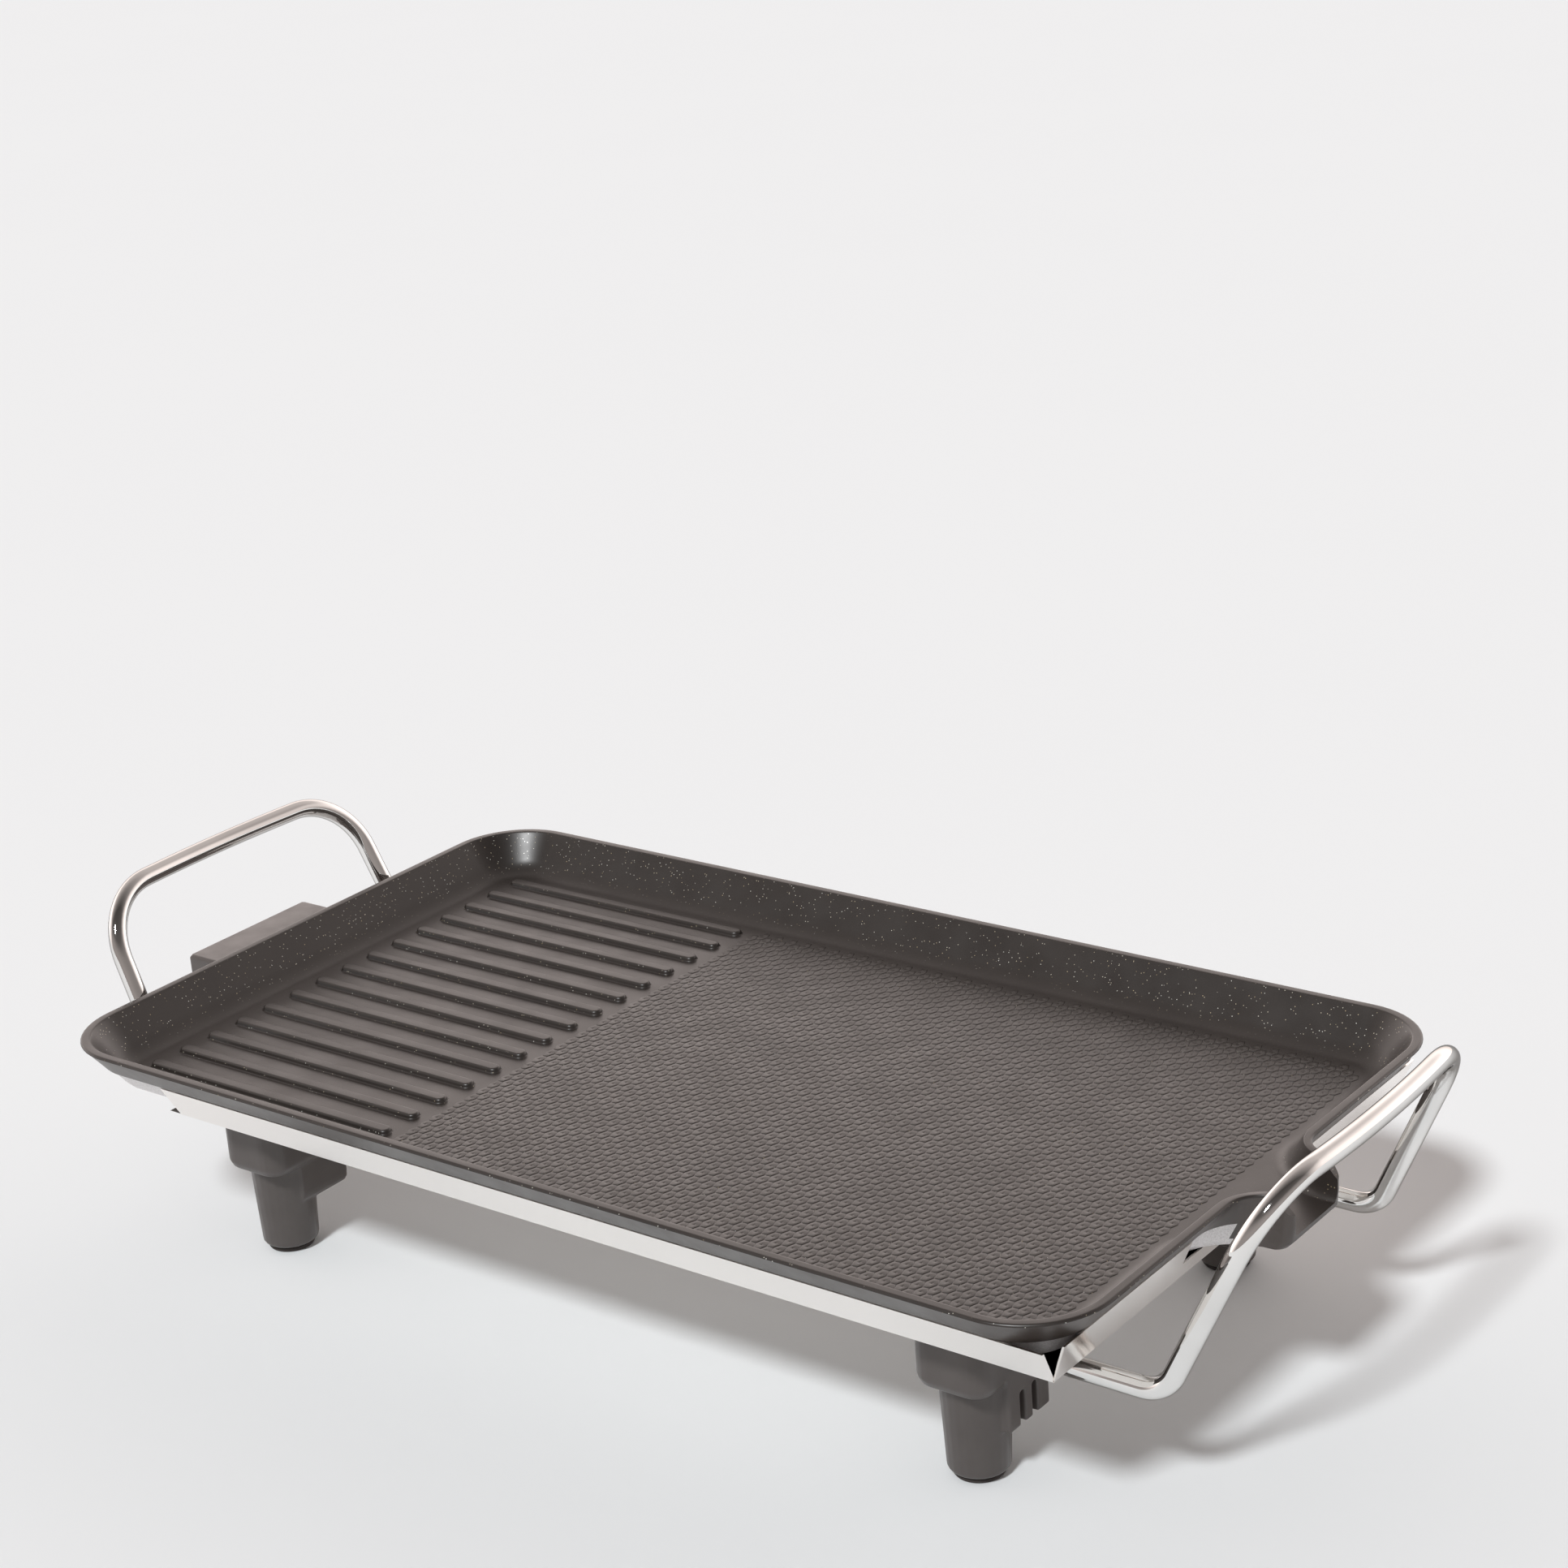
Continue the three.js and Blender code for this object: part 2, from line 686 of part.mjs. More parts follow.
const legBody = leg();
const padBody = footPad();
for (const { name, sx, sy } of quarters) {
  const legMesh = add("leg_" + name, legBody, "phenolic");
  legMesh.position.set(sx * legX, sy * legY, 0);
  legMesh.scale.set(sx, sy, 1);
  const padMesh = add("foot_pad_" + name, padBody, "rubber");
  padMesh.position.set(sx * legX, sy * legY, 0);
  const head = legScrewSeat - gap - legScrewHeadHeight;
  const screwBody = screw(legScrewHead, legScrewHeadHeight, legScrewRadius, head, floorUnder - 3, [0, 0]);
  const screwMesh = add("leg_screw_" + name, screwBody, "steel");
  screwMesh.position.set(sx * legX, sy * legY, 0);
}

// ---------------------------------------------------------------- handles
function handle() {
  const bendX = legX + stubReach;
  const gripX = bendX + gripReach;
  const endX = legX + socketBottom + socketEnd;
  const corners = [
    { at: [endX, -stubY, wireHeight] },
    { at: [bendX, -stubY, wireHeight], radius: lowerBend },
    { at: [gripX, -gripY, gripHeight], radius: upperBend },
    { at: [gripX + gripBow, 0, gripHeight], radius: bowRadius },
    { at: [gripX, gripY, gripHeight], radius: upperBend },
    { at: [bendX, stubY, wireHeight], radius: lowerBend },
    { at: [endX, stubY, wireHeight] },
  ];
  return wire(bentPoints(corners, 6), wireRadius, 12);
}

const handleBody = handle();
add("right_handle", handleBody, "chrome");
add("left_handle", handleBody, "chrome").scale.set(-1, 1, 1);

// ---------------------------------------------------------------- heating element
function element() {
  const outer = elementOuter / 2;
  const inner = elementInner / 2;
  const end = elementEnds / 2;
  const half = (side) => [
    { at: [-coldEndPlace, side * end, coldEndHeight] },
    { at: [-coldEndPlace + 12, side * end, coldEndHeight], radius: 8 },
    { at: [-elementStart - 8, side * end, elementHeight], radius: 8 },
    { at: [-elementStart + 6, side * end, elementHeight], radius: 8 },
    { at: [-elementStart + 6, side * outer, elementHeight], radius: elementBend },
    { at: [elementReach, side * outer, elementHeight], radius: elementBend },
    { at: [elementReach, side * inner, elementHeight], radius: elementBend },
    { at: [-elementReturn, side * inner, elementHeight], radius: elementBend },
  ];
  return wire(bentPoints([...half(-1), ...half(1).reverse()], 4), elementRadius, 8);
}

add("heating_element", element(), "sheath");

for (const [place, x] of clampPlaces.entries()) {
  for (const [row, side] of [
    ["front", -1],
    ["back", 1],
  ]) {
    const reach = (elementOuter - elementInner) / 4 + elementRadius + clampOverhang;
    const strip = block(
      [x - clampWidth / 2, side * clampY - reach, clampBottom],
      [x + clampWidth / 2, side * clampY + reach, clampTop],
    );
    const hole = bar("z", smallScrewHole, clampBottom - 1, clampTop + 1, [x, side * clampY], 16);
    add(`element_clamp_${row}_${place + 1}`, strip.subtract(hole), "steel");
    const head = clampBottom - gap - smallScrewHeadHeight;
    const body = screw(smallScrewHead, smallScrewHeadHeight, smallScrewRadius, head, floorUnder - 1.8, [
      x,
      side * clampY,
    ]);
    add(`clamp_screw_${row}_${place + 1}`, body, "steel");
  }
}

// ---------------------------------------------------------------- terminal shroud
// The pan's end wall as a profile in XZ, grown by the gap, which the shroud is cut to.
function panProfile() {
  return [
    [-(rimX + gap), rimHeight + 1],
    [-(rimX + gap), rimHeight],
    [-(rimX - outerInset(lipHeight) + gap), lipHeight - gap],
    [-(rimX - outerInset(lipHeight) - lipStep + gap), lipHeight - gap],
    [-(underX + gap), floorUnder - gap],
    [-shroudInnerEnd + 20, floorUnder - gap],
    [-shroudInnerEnd + 20, rimHeight + 1],
  ];
}

function shroud() {
  const section = roundedRect(shroudHalf, (shroudTop - shroudBottom) / 2, shroudCorner, 0, 0, 4).map((p) => [
    p.x,
    p.y + (shroudTop + shroudBottom) / 2,
  ]);
  const outside = alongX(section, shroudOuter, -shroudInnerEnd);
  const skin = shroudWall / Math.sin(wallAngle);
  const ceiling = shroudTop - shroudWall;
  const under = floorUnder - gap - shroudWall;
  const wallX = (z) => -(rimX - outerInset(z) - lipStep + gap + skin);
  const cavity = alongY(
    [
      [shroudOuter - 1, shroudFloor],
      [-shroudInnerEnd - shroudWall, shroudFloor],
      [-shroudInnerEnd - shroudWall, floorUnder + 1],
      [-boardPlace - 3.5, floorUnder + 1],
      [-boardPlace - 3.5, under],
      [wallX(under), under],
      [wallX(ceiling) - lipStep, ceiling],
      [shroudOuter - 1, ceiling],
    ],
    -(shroudHalf - shroudWall),
    shroudHalf - shroudWall,
  );
  let body = outside.subtract(alongY(panProfile(), -shroudHalf - 1, shroudHalf + 1)).subtract(cavity);
  const notch = elementRadius + 3 * gap;
  for (const side of [-1, 1]) {
    const y = (side * elementEnds) / 2;
    body = body.subtract(
      block(
        [-shroudInnerEnd - 4, y - notch, coldEndHeight - notch - 1],
        [-shroudInnerEnd + 1, y + notch, floorUnder + 1],
      ),
    );
    body = body.subtract(
      bar("z", smallScrewHole, shroudBottom - 1, shroudFloor + 1, [-pillarPlace, side * pillarY], 16),
    );
  }
  const probeNotch = probeRadius + gap;
  return body.subtract(
    block(
      [-shroudInnerEnd - 4, -probeNotch, probeHeight - probeNotch],
      [-shroudInnerEnd + 1, probeNotch, floorUnder + 1],
    ),
  );
}

add("terminal_shroud", shroud(), "phenolic");

function board() {
  const half = shroudHalf - shroudWall - boardInset;
  let body = block([-boardPlace, -half, shroudFloor + gap], [boardFront, half, floorUnder - gap]);
  const drill = (radius, y, z) => bar("x", radius, -boardPlace - 1, boardFront + 1, [y, z], 20);
  for (const side of [-1, 1]) {
    body = body.subtract(drill(pinRadius + gap, (side * elementEnds) / 2, coldEndHeight));
  }
  body = body.subtract(drill(earthPinRadius + gap, 0, earthPinHeight));
  return body.subtract(
    block(
      [-boardPlace - 1, -probeRadius - gap, probeHeight - probeRadius - gap],
      [boardFront + 1, probeRadius + gap, floorUnder],
    ),
  );
}

add("terminal_board", board(), "phenolic");

// A pin on the axis along X, rounded at its outer end, with a collar behind the board.
function pin(radius, inner, outer, y, z) {
  const collarEnd = boardFront + gap;
  const g = new THREE.LatheGeometry(
    [
      new THREE.Vector2(0, inner),
      new THREE.Vector2(radius + 0.9, inner),
      new THREE.Vector2(radius + 0.9, -collarEnd),
      new THREE.Vector2(radius, -collarEnd),
      new THREE.Vector2(radius, outer - 2),
      new THREE.Vector2(radius * 0.6, outer - 0.5),
      new THREE.Vector2(0, outer),
    ],
    16,
  );
  g.rotateZ(quarter).translate(0, y, z);
  return solid(g);
}

const pinInner = coldEndPlace + gap;
const pinOuter = boardPlace + pinReach;
add("line_pin", pin(pinRadius, pinInner, pinOuter, -elementEnds / 2, coldEndHeight), "brass");
add("neutral_pin", pin(pinRadius, pinInner, pinOuter, elementEnds / 2, coldEndHeight), "brass");
add("earth_pin", pin(earthPinRadius, pinInner, pinOuter - 6, 0, earthPinHeight), "brass");

for (const [name, side] of [
  ["front", -1],
  ["back", 1],
]) {
  const y = (side * elementEnds) / 2;
  const sleeve = bar("x", bushRadius, -coldEndPlace, -coldEndPlace + bushLength, [y, coldEndHeight], 24);
  const inner = -coldEndPlace + bushLength;
  const bore = bar("x", elementRadius + gap, -coldEndPlace - 1, inner + 1, [y, coldEndHeight], 20);
  add("element_bush_" + name, sleeve.subtract(bore), "ceramic");
  const head = shroudBottom - gap - smallScrewHeadHeight;
  const body = screw(smallScrewHead, smallScrewHeadHeight, smallScrewRadius, head, shroudFloor + 11, [
    -pillarPlace,
    side * pillarY,
  ]);
  add("shroud_screw_" + name, body, "steel");
}

const probeStart = -boardPlace - 2;
const probeTube = bar("x", probeRadius, probeStart, probeStart + probeLength, [0, probeHeight], 20);
const probeHole = bar("x", probeBore, probeStart - 1, probeStart + probeLength - 2, [0, probeHeight], 16);
add("probe_guide_tube", probeTube.subtract(probeHole), "stainless");

// A bent strip from the earth pin's collar to the foot of a pillar.
function earthStrap() {
  const x0 = -coldEndPlace + gap;
  const x1 = x0 + strapSheet;
  const foot = shroudFloor + gap;
  const low = coldEndHeight - bushRadius - 2 * gap;
  const tail = block([x0, -earthPinRadius - 2, foot + 1], [x1, earthPinRadius + 2, earthPinHeight + 3]);
  const run = block([x0, 0, foot + 1], [x1, pillarY + 4, low]);
  const riser = block([x0, pillarY - 4, foot], [x1, pillarY + 4, low]);
  const sole = block([x0, pillarY - 4, foot], [-pillarPlace + 4, pillarY + 4, foot + strapSheet]);
  const hole = bar("z", smallScrewHole, foot - 1, strapTop + 1, [-pillarPlace, pillarY], 16);
  return joined(tail, run, riser, sole).subtract(hole);
}

add("earth_strap", earthStrap(), "brass");

export default griddle;
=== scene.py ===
# Electric griddle: finer pieces, finishes, table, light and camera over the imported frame.
# Metres, +Z up. Sizes written in millimetres are multiplied by MM.
import math

import bmesh
import bpy
from mathutils import Matrix, Vector


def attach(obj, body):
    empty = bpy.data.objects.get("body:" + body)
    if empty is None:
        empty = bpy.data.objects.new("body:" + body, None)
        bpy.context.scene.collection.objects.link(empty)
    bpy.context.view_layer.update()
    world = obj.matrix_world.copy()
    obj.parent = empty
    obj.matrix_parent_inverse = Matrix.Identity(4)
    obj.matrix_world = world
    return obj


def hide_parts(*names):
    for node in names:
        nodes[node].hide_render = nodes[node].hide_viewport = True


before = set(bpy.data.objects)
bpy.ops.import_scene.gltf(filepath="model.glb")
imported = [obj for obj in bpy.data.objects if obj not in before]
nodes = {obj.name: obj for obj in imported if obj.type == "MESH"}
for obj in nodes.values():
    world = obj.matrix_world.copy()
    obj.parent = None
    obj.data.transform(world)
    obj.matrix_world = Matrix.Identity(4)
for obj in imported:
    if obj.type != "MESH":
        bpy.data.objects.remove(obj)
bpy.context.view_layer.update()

MM = 0.001

QUARTER = math.pi / 2

# ---------------------------------------------------------------- sizes, in millimetres
# Pan: half the rim's length and width, and the heights of its levels
RIM_X, RIM_Y, RIM_Z = 240.0, 140.0, 96.5
FLOOR_Z = 80.6
UNDER_Z = 75.8
LIP_Z = 85.3  # lower edge of the outer band
CORNER = 33.0
LEAN = 0.72  # run of the wall for each millimetre of height
LAND = 4.0  # width of the rim's top
FILLET = 13.0
STEP = 1.5  # how far the wall steps in under the band
WALL_ANGLE = math.atan2(1, LEAN)
# Spout
TIP_X, TIP_CORNER = 256.5, 3.5
THROAT, SPOUT_WALL = 15.2, 3.5
LIP_RUN, LIP_DROP = 8.5, 7.6  # how far the channel's sides fall away at the tip
# Ribs and lattice
RIB_LENGTH, RIB_WIDTH, RIB_PITCH, RIB_COUNT = 131.7, 6.0, 15.69, 15
RIB_START = 5.8  # from the floor's edge
LATTICE_X, LATTICE_Y = -73.9, 2.8  # the first tile
COLUMN_PITCH, ROW_PITCH = 3.75, 6.67
# Legs, clamps and the shroud's pillars
LEG_X, LEG_Y = 169.7, 86.9
CLAMP_XS, CLAMP_Y = (-60, 110), 47
PILLAR_X, PILLAR_Y = -205, 28
FOUR_LEGS = (("front_left", -1, -1), ("front_right", 1, -1), ("back_left", -1, 1), ("back_right", 1, 1))
# Handles
WIRE_RADIUS = 3.98
STUB_Y, STUB_Z, STUB_END = 76.8, 46.3, LEG_X - 6
LOWER_X, LOWER_BEND = LEG_X + 70.3, 14
GRIP_X, GRIP_Y, GRIP_Z, GRIP_BEND = LEG_X + 108.0, 72.2, 126.5, 30
BOW, BOW_RADIUS = 4.4, 640
# Element
ROD_RADIUS, ROD_Z, ROD_BEND = 3.22, 72.2, 14
OUTER_RUN, INNER_RUN = 70, 24
COLD_X, COLD_Y, COLD_Z, COLD_BEND = -211, 14, 66, 8
# Terminal pins
BOARD_FRONT = -213.4
PIN_INNER = -211.4


# ---------------------------------------------------------------- mesh helpers
def finish_mesh(mesh, angle):
    """Smooth shading with edges sharper than the angle kept sharp."""
    mesh.shade_smooth()
    mesh.set_sharp_from_angle(angle=math.radians(angle))


def add_piece(name, mesh, material, body, cad, angle):
    """A finished piece that rides on a body and stands for the CAD nodes in cad."""
    obj = bpy.data.objects.new(name, mesh)
    bpy.context.scene.collection.objects.link(obj)
    if material is not None and not mesh.materials:
        mesh.materials.append(material)
    finish_mesh(mesh, angle)
    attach(obj, body)
    if cad:
        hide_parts(*cad)
    return obj


def mesh_from(name, verts, faces):
    """A mesh from points in millimetres."""
    mesh = bpy.data.meshes.new(name)
    mesh.from_pydata([(x * MM, y * MM, z * MM) for x, y, z in verts], [], faces)
    mesh.validate()
    mesh.update()
    return mesh


def evaluated(obj, name):
    """The object's mesh with its modifiers applied, as a plain mesh; the object is then removed."""
    graph = bpy.context.evaluated_depsgraph_get()
    graph.update()
    mesh = bpy.data.meshes.new_from_object(obj.evaluated_get(graph))
    mesh.name = name
    bpy.data.objects.remove(obj)
    return mesh


def scratch(name, data):
    """A new object in the scene that holds the data."""
    obj = bpy.data.objects.new(name, data)
    bpy.context.scene.collection.objects.link(obj)
    return obj


def arc(cx, cy, r, a0, a1, steps):
    """Points on an arc from angle a0 to a1, both included."""
    angles = [a0 + (a1 - a0) * i / steps for i in range(steps + 1)]
    return [(cx + r * math.cos(a), cy + r * math.sin(a)) for a in angles]


def loft(levels):
    """Points and faces of a closed solid through (outline, z) levels, from the lowest up."""
    count = len(levels[0][0])
    verts = [(x, y, z) for outline, z in levels for x, y in outline]
    faces = []
    for k in range(len(levels) - 1):
        for i in range(count):
            j = (i + 1) % count
            a, b = k * count + i, k * count + j
            faces.append((a, b, b + count, a + count))
    top = (len(levels) - 1) * count
    faces.append(tuple(reversed(range(count))))
    faces.append(tuple(range(top, top + count)))
    return verts, faces


def stadium(half_x, half_y, steps=12):
    """A round-ended outline along X."""
    right_end = arc(half_x - half_y, 0, half_y, -QUARTER, QUARTER, steps)
    left_end = arc(-half_x + half_y, 0, half_y, QUARTER, 3 * QUARTER, steps)
    return right_end + left_end


def turned(profile, sides, axis="z", place=(0, 0)):
    """A turned solid along Z or X: profile points are (radius, along), closed on the axis."""
    verts, faces, rings = [], [], []
    for r, h in profile:
        if r == 0:
            rings.append([len(verts)])
            verts.append((0, 0, h))
        else:
            rings.append(list(range(len(verts), len(verts) + sides)))
            for i in range(sides):
                a = 2 * math.pi * i / sides
                verts.append((r * math.cos(a), r * math.sin(a), h))
    for low, high in zip(rings, rings[1:]):
        for i in range(sides):
            j = (i + 1) % sides
            if len(low) == 1 and len(high) > 1:
                faces.append((low[0], high[j], high[i]))
            elif len(high) == 1 and len(low) > 1:
                faces.append((low[i], low[j], high[0]))
            elif len(low) > 1:
                faces.append((low[i], low[j], high[j], high[i]))
    if axis == "x":
        verts = [(h, x + place[0], y + place[1]) for x, y, h in verts]
    else:
        verts = [(x + place[0], y + place[1], h) for x, y, h in verts]
    return verts, faces


def merged(parts):
    """Several (points, faces) pairs as one."""
    verts, faces = [], []
    for v, f in parts:
        faces += [tuple(i + len(verts) for i in face) for face in f]
        verts += v
    return verts, faces


def bent_points(corners, steps):
    """Points along straight runs through (place, radius) corners, each corner a bend of its radius."""
    at = [Vector(c[0]) for c in corners]
    points = [at[0]]
    for i in range(1, len(at) - 1):
        into = (at[i] - at[i - 1]).normalized()
        out = (at[i + 1] - at[i]).normalized()
        turn = into.angle(out)
        r = corners[i][1]
        start = at[i] - into * (r * math.tan(turn / 2))
        side = (out - into * out.dot(into)).normalized()
        for k in range(steps + 1):
            a = turn * k / steps
            points.append(start + into * (r * math.sin(a)) + side * (r * (1 - math.cos(a))))
    points.append(at[-1])
    return points


def wire(points, radius, sides, end_round=0.0):
    """A round wire along points, with slightly rounded ends."""
    last = len(points) - 1
    chords = [points[min(i + 1, last)] - points[max(i - 1, 0)] for i in range(last + 1)]
    tangents = [chord.normalized() for chord in chords]
    rows = [(p, t, radius) for p, t in zip(points, tangents)]
    if end_round > 0:
        first, final = rows[0], rows[-1]
        rows[0] = (first[0] + first[1] * end_round, first[1], radius)
        rows[-1] = (final[0] - final[1] * end_round, final[1], radius)
        rows.insert(0, (first[0], first[1], radius - end_round))
        rows.append((final[0], final[1], radius - end_round))
    across = Vector((0, 0, 1)).cross(rows[0][1]).normalized()
    verts, faces = [], []
    for p, t, r in rows:
        across = (across - t * across.dot(t)).normalized()
        up = t.cross(across)
        for k in range(sides):
            a = 2 * math.pi * k / sides
            verts.append(tuple(p + across * (r * math.cos(a)) + up * (r * math.sin(a))))
    for i in range(len(rows) - 1):
        for k in range(sides):
            j = (k + 1) % sides
            a, b = i * sides + k, i * sides + j
            faces.append((a, b, b + sides, a + sides))
    faces.append(tuple(reversed(range(sides))))
    top = (len(rows) - 1) * sides
    faces.append(tuple(range(top, top + sides)))
    return verts, faces


# ---------------------------------------------------------------- finishes
class Finish:
    """A node material on a Principled surface, with patterns laid on Object coordinates."""

    def __init__(self, name, **inputs):
        self.mat = bpy.data.materials.new(name)
        self.mat.use_nodes = True
        self.tree = self.mat.node_tree
        self.surface = self.tree.nodes["Principled BSDF"]
        for key, value in inputs.items():
            self.socket(key).default_value = value
        self.place = self.node("ShaderNodeTexCoord").outputs["Object"]

    def socket(self, key):
        """The surface's input whose name is written with underscores in key."""
        return self.surface.inputs[key.replace("_", " ").title().replace("Ior", "IOR")]

    def node(self, kind, **props):
        n = self.tree.nodes.new(kind)
        for key, value in props.items():
            setattr(n, key, value)
        return n

    def link(self, a, b):
        self.tree.links.new(a, b)

    def noise(self, scale, detail=3.0, rough=0.5, stretch=None):
        place = self.place
        if stretch is not None:
            m = self.node("ShaderNodeMapping")
            m.inputs["Scale"].default_value = stretch
            self.link(self.place, m.inputs["Vector"])
            place = m.outputs["Vector"]
        n = self.node("ShaderNodeTexNoise")
        n.inputs["Scale"].default_value = scale
        n.inputs["Detail"].default_value = detail
        n.inputs["Roughness"].default_value = rough
        self.link(place, n.inputs["Vector"])
        return n.outputs["Fac"]

    def cells(self, scale):
        """Distance from the nearest cell's middle, and the cell's own colour."""
        n = self.node("ShaderNodeTexVoronoi")
        n.inputs["Scale"].default_value = scale
        self.link(self.place, n.inputs["Vector"])
        return n.outputs["Distance"], n.outputs["Color"]

    def ramp(self, fac, stops):
        r = self.node("ShaderNodeValToRGB")
        while len(r.color_ramp.elements) < len(stops):
            r.color_ramp.elements.new(0.5)
        for e, (pos, colour) in zip(r.color_ramp.elements, stops):
            e.position = pos
            e.color = (*colour, 1)
        self.link(fac, r.inputs["Fac"])
        return r.outputs["Color"]

    def span(self, fac, low, high, start=0.3, end=0.7):
        """fac from start to end becomes low to high."""
        m = self.node("ShaderNodeMapRange")
        m.inputs["From Min"].default_value = start
        m.inputs["From Max"].default_value = end
        m.inputs["To Min"].default_value = low
        m.inputs["To Max"].default_value = high
        self.link(fac, m.inputs["Value"])
        return m.outputs["Result"]

    def on_slopes(self, level_share):
        """One on sloping walls, fading to level_share on level faces."""
        split = self.node("ShaderNodeSeparateXYZ")
        self.link(self.node("ShaderNodeNewGeometry").outputs["Normal"], split.inputs["Vector"])
        return self.span(split.outputs["Z"], 1.0, level_share, 0.7, 0.95)

    def maths(self, operation, a, b):
        m = self.node("ShaderNodeMath", operation=operation)
        for socket, value in zip(m.inputs, (a, b)):
            if isinstance(value, (int, float)):
                socket.default_value = value
            else:
                self.link(value, socket)
        return m.outputs[0]

    def mix(self, fac, a, b):
        m = self.node("ShaderNodeMix", data_type="RGBA")
        for socket, value in ((m.inputs[0], fac), (m.inputs[6], a), (m.inputs[7], b)):
            if isinstance(value, (int, float)):
                socket.default_value = value
            elif isinstance(value, tuple):
                socket.default_value = (*value, 1)
            else:
                self.link(value, socket)
        return m.outputs[2]

    def bump(self, height, strength, distance, under=None):
        b = self.node("ShaderNodeBump")
        b.inputs["Strength"].default_value = strength
        b.inputs["Distance"].default_value = distance
        self.link(height, b.inputs["Height"])
        if under is not None:
            self.link(under, b.inputs["Normal"])
        return b.outputs["Normal"]

    def give(self, **sockets):
        """Links patterns to the surface's inputs and returns the material."""
        for key, value in sockets.items():
            self.link(value, self.socket(key))
        return self.mat


def coating_finish():
    """Dark stone coating with pale and gold flecks, which show most on the walls: partly real flecks, partly
    painted glints, kept to the slopes where the key light sparkles.
    """
    f = Finish("stone_coating", roughness=0.4, ior=1.58)
    blotch = f.noise(22, 3, 0.55)
    grain = f.noise(2400, 2, 0.6)
    colour = f.ramp(blotch, [(0.3, (0.022, 0.0175, 0.0155)), (0.7, (0.029, 0.0235, 0.0205))])
    colour = f.mix(f.span(grain, 0.0, 0.4, 0.45, 0.8), colour, (0.042, 0.035, 0.029))
    distance, tint = f.cells(850)
    split = f.node("ShaderNodeSeparateColor")
    f.link(tint, split.inputs["Color"])
    chosen = f.maths("GREATER_THAN", split.outputs["Red"], 0.62)
    fleck_and_glint = f.maths("MULTIPLY", f.maths("LESS_THAN", distance, 0.16), chosen)
    # Painted glints: the flecks are kept on the sloping walls, where the key light catches them, and nearly
    # left off level faces.
    fleck_and_glint = f.maths("MULTIPLY", fleck_and_glint, f.on_slopes(0.05))
    fleck = f.mix(split.outputs["Green"], (0.75, 0.76, 0.72), (0.50, 0.40, 0.24))
    colour = f.mix(fleck_and_glint, colour, fleck)
    rough = f.maths("SUBTRACT", f.span(f.noise(60, 3), 0.32, 0.40), f.maths("MULTIPLY", fleck_and_glint, 0.15))
    normal = f.bump(grain, 0.14, 0.00006)
    normal = f.bump(f.noise(420, 3), 0.08, 0.0001, normal)
    return f.give(base_color=colour, roughness=rough, normal=normal)


def band_coat_and_sheen():
    """The coating on the rim's outer band, a little paler: partly its own satin tone, partly painted
    reflection of the bright table it faces.
    """
    f = Finish("rim_band_coat", roughness=0.4, ior=1.6)
    # Painted reflection: the pale tone stands in part for the lit table reflected in the downward-facing
    # band.
    colour = f.ramp(f.noise(30, 3), [(0.3, (0.052, 0.041, 0.036)), (0.7, (0.064, 0.052, 0.046))])
    grain = f.noise(2200, 2)
    rough = f.span(f.noise(80, 3), 0.34, 0.42)
    return f.give(base_color=colour, roughness=rough, normal=f.bump(grain, 0.14, 0.00006))


def bare_cast_finish():
    """Sand-textured bare aluminium under the band."""
    f = Finish("blasted_aluminium", metallic=0.55, roughness=0.5)
    sand = f.noise(1500, 4, 0.7)
    colour = f.ramp(sand, [(0.3, (0.60, 0.58, 0.58)), (0.7, (0.88, 0.86, 0.86))])
    rough = f.span(f.noise(200, 3), 0.42, 0.6)
    return f.give(base_color=colour, roughness=rough, normal=f.bump(sand, 0.55, 0.00025))


def stainless_finish():
    """Polished sheet with faint rolling lines along X."""
    f = Finish("polished_stainless", metallic=1.0, roughness=0.16)
    lines = f.noise(1.0, 3, 0.6, (25, 1400, 1400))
    colour = f.ramp(f.noise(9, 3), [(0.3, (0.90, 0.86, 0.825)), (0.7, (0.96, 0.92, 0.885))])
    rough = f.maths("ADD", f.span(lines, 0.10, 0.17), f.span(f.noise(35, 4), 0.0, 0.07, 0.5, 0.75))
    normal = f.bump(lines, 0.05, 0.00004)
    normal = f.bump(f.noise(14, 2), 0.06, 0.0008, normal)
    return f.give(base_color=colour, roughness=rough, normal=normal)


def chrome_finish():
    f = Finish("bright_chrome", metallic=1.0, roughness=0.05, specular_tint=(0.30, 0.29, 0.28, 1))
    colour = f.ramp(f.noise(40, 2), [(0.3, (0.82, 0.815, 0.80)), (0.7, (0.90, 0.895, 0.88))])
    rough = f.span(f.noise(160, 4), 0.025, 0.07, 0.4, 0.75)
    return f.give(base_color=colour, roughness=rough, normal=f.bump(f.noise(60, 2), 0.03, 0.0003))


def moulded_finish(name, low, high, roughness=(0.30, 0.42)):
    f = Finish(name, roughness=0.36, ior=1.5)
    colour = f.ramp(f.noise(45, 4, 0.6), [(0.3, low), (0.7, high)])
    fine = f.noise(1800, 2)
    rough = f.span(f.noise(120, 4), roughness[0], roughness[1])
    normal = f.bump(fine, 0.10, 0.00006)
    normal = f.bump(f.noise(55, 2), 0.10, 0.0005, normal)
    return f.give(base_color=colour, roughness=rough, normal=normal)


def rubber_finish():
    f = Finish("foot_rubber", roughness=0.8, ior=1.45)
    colour = f.ramp(f.noise(90, 4), [(0.3, (0.034, 0.028, 0.026)), (0.7, (0.050, 0.042, 0.039))])
    grain = f.noise(1300, 3)
    return f.give(base_color=colour, roughness=f.span(grain, 0.7, 0.9), normal=f.bump(grain, 0.3, 0.0001))


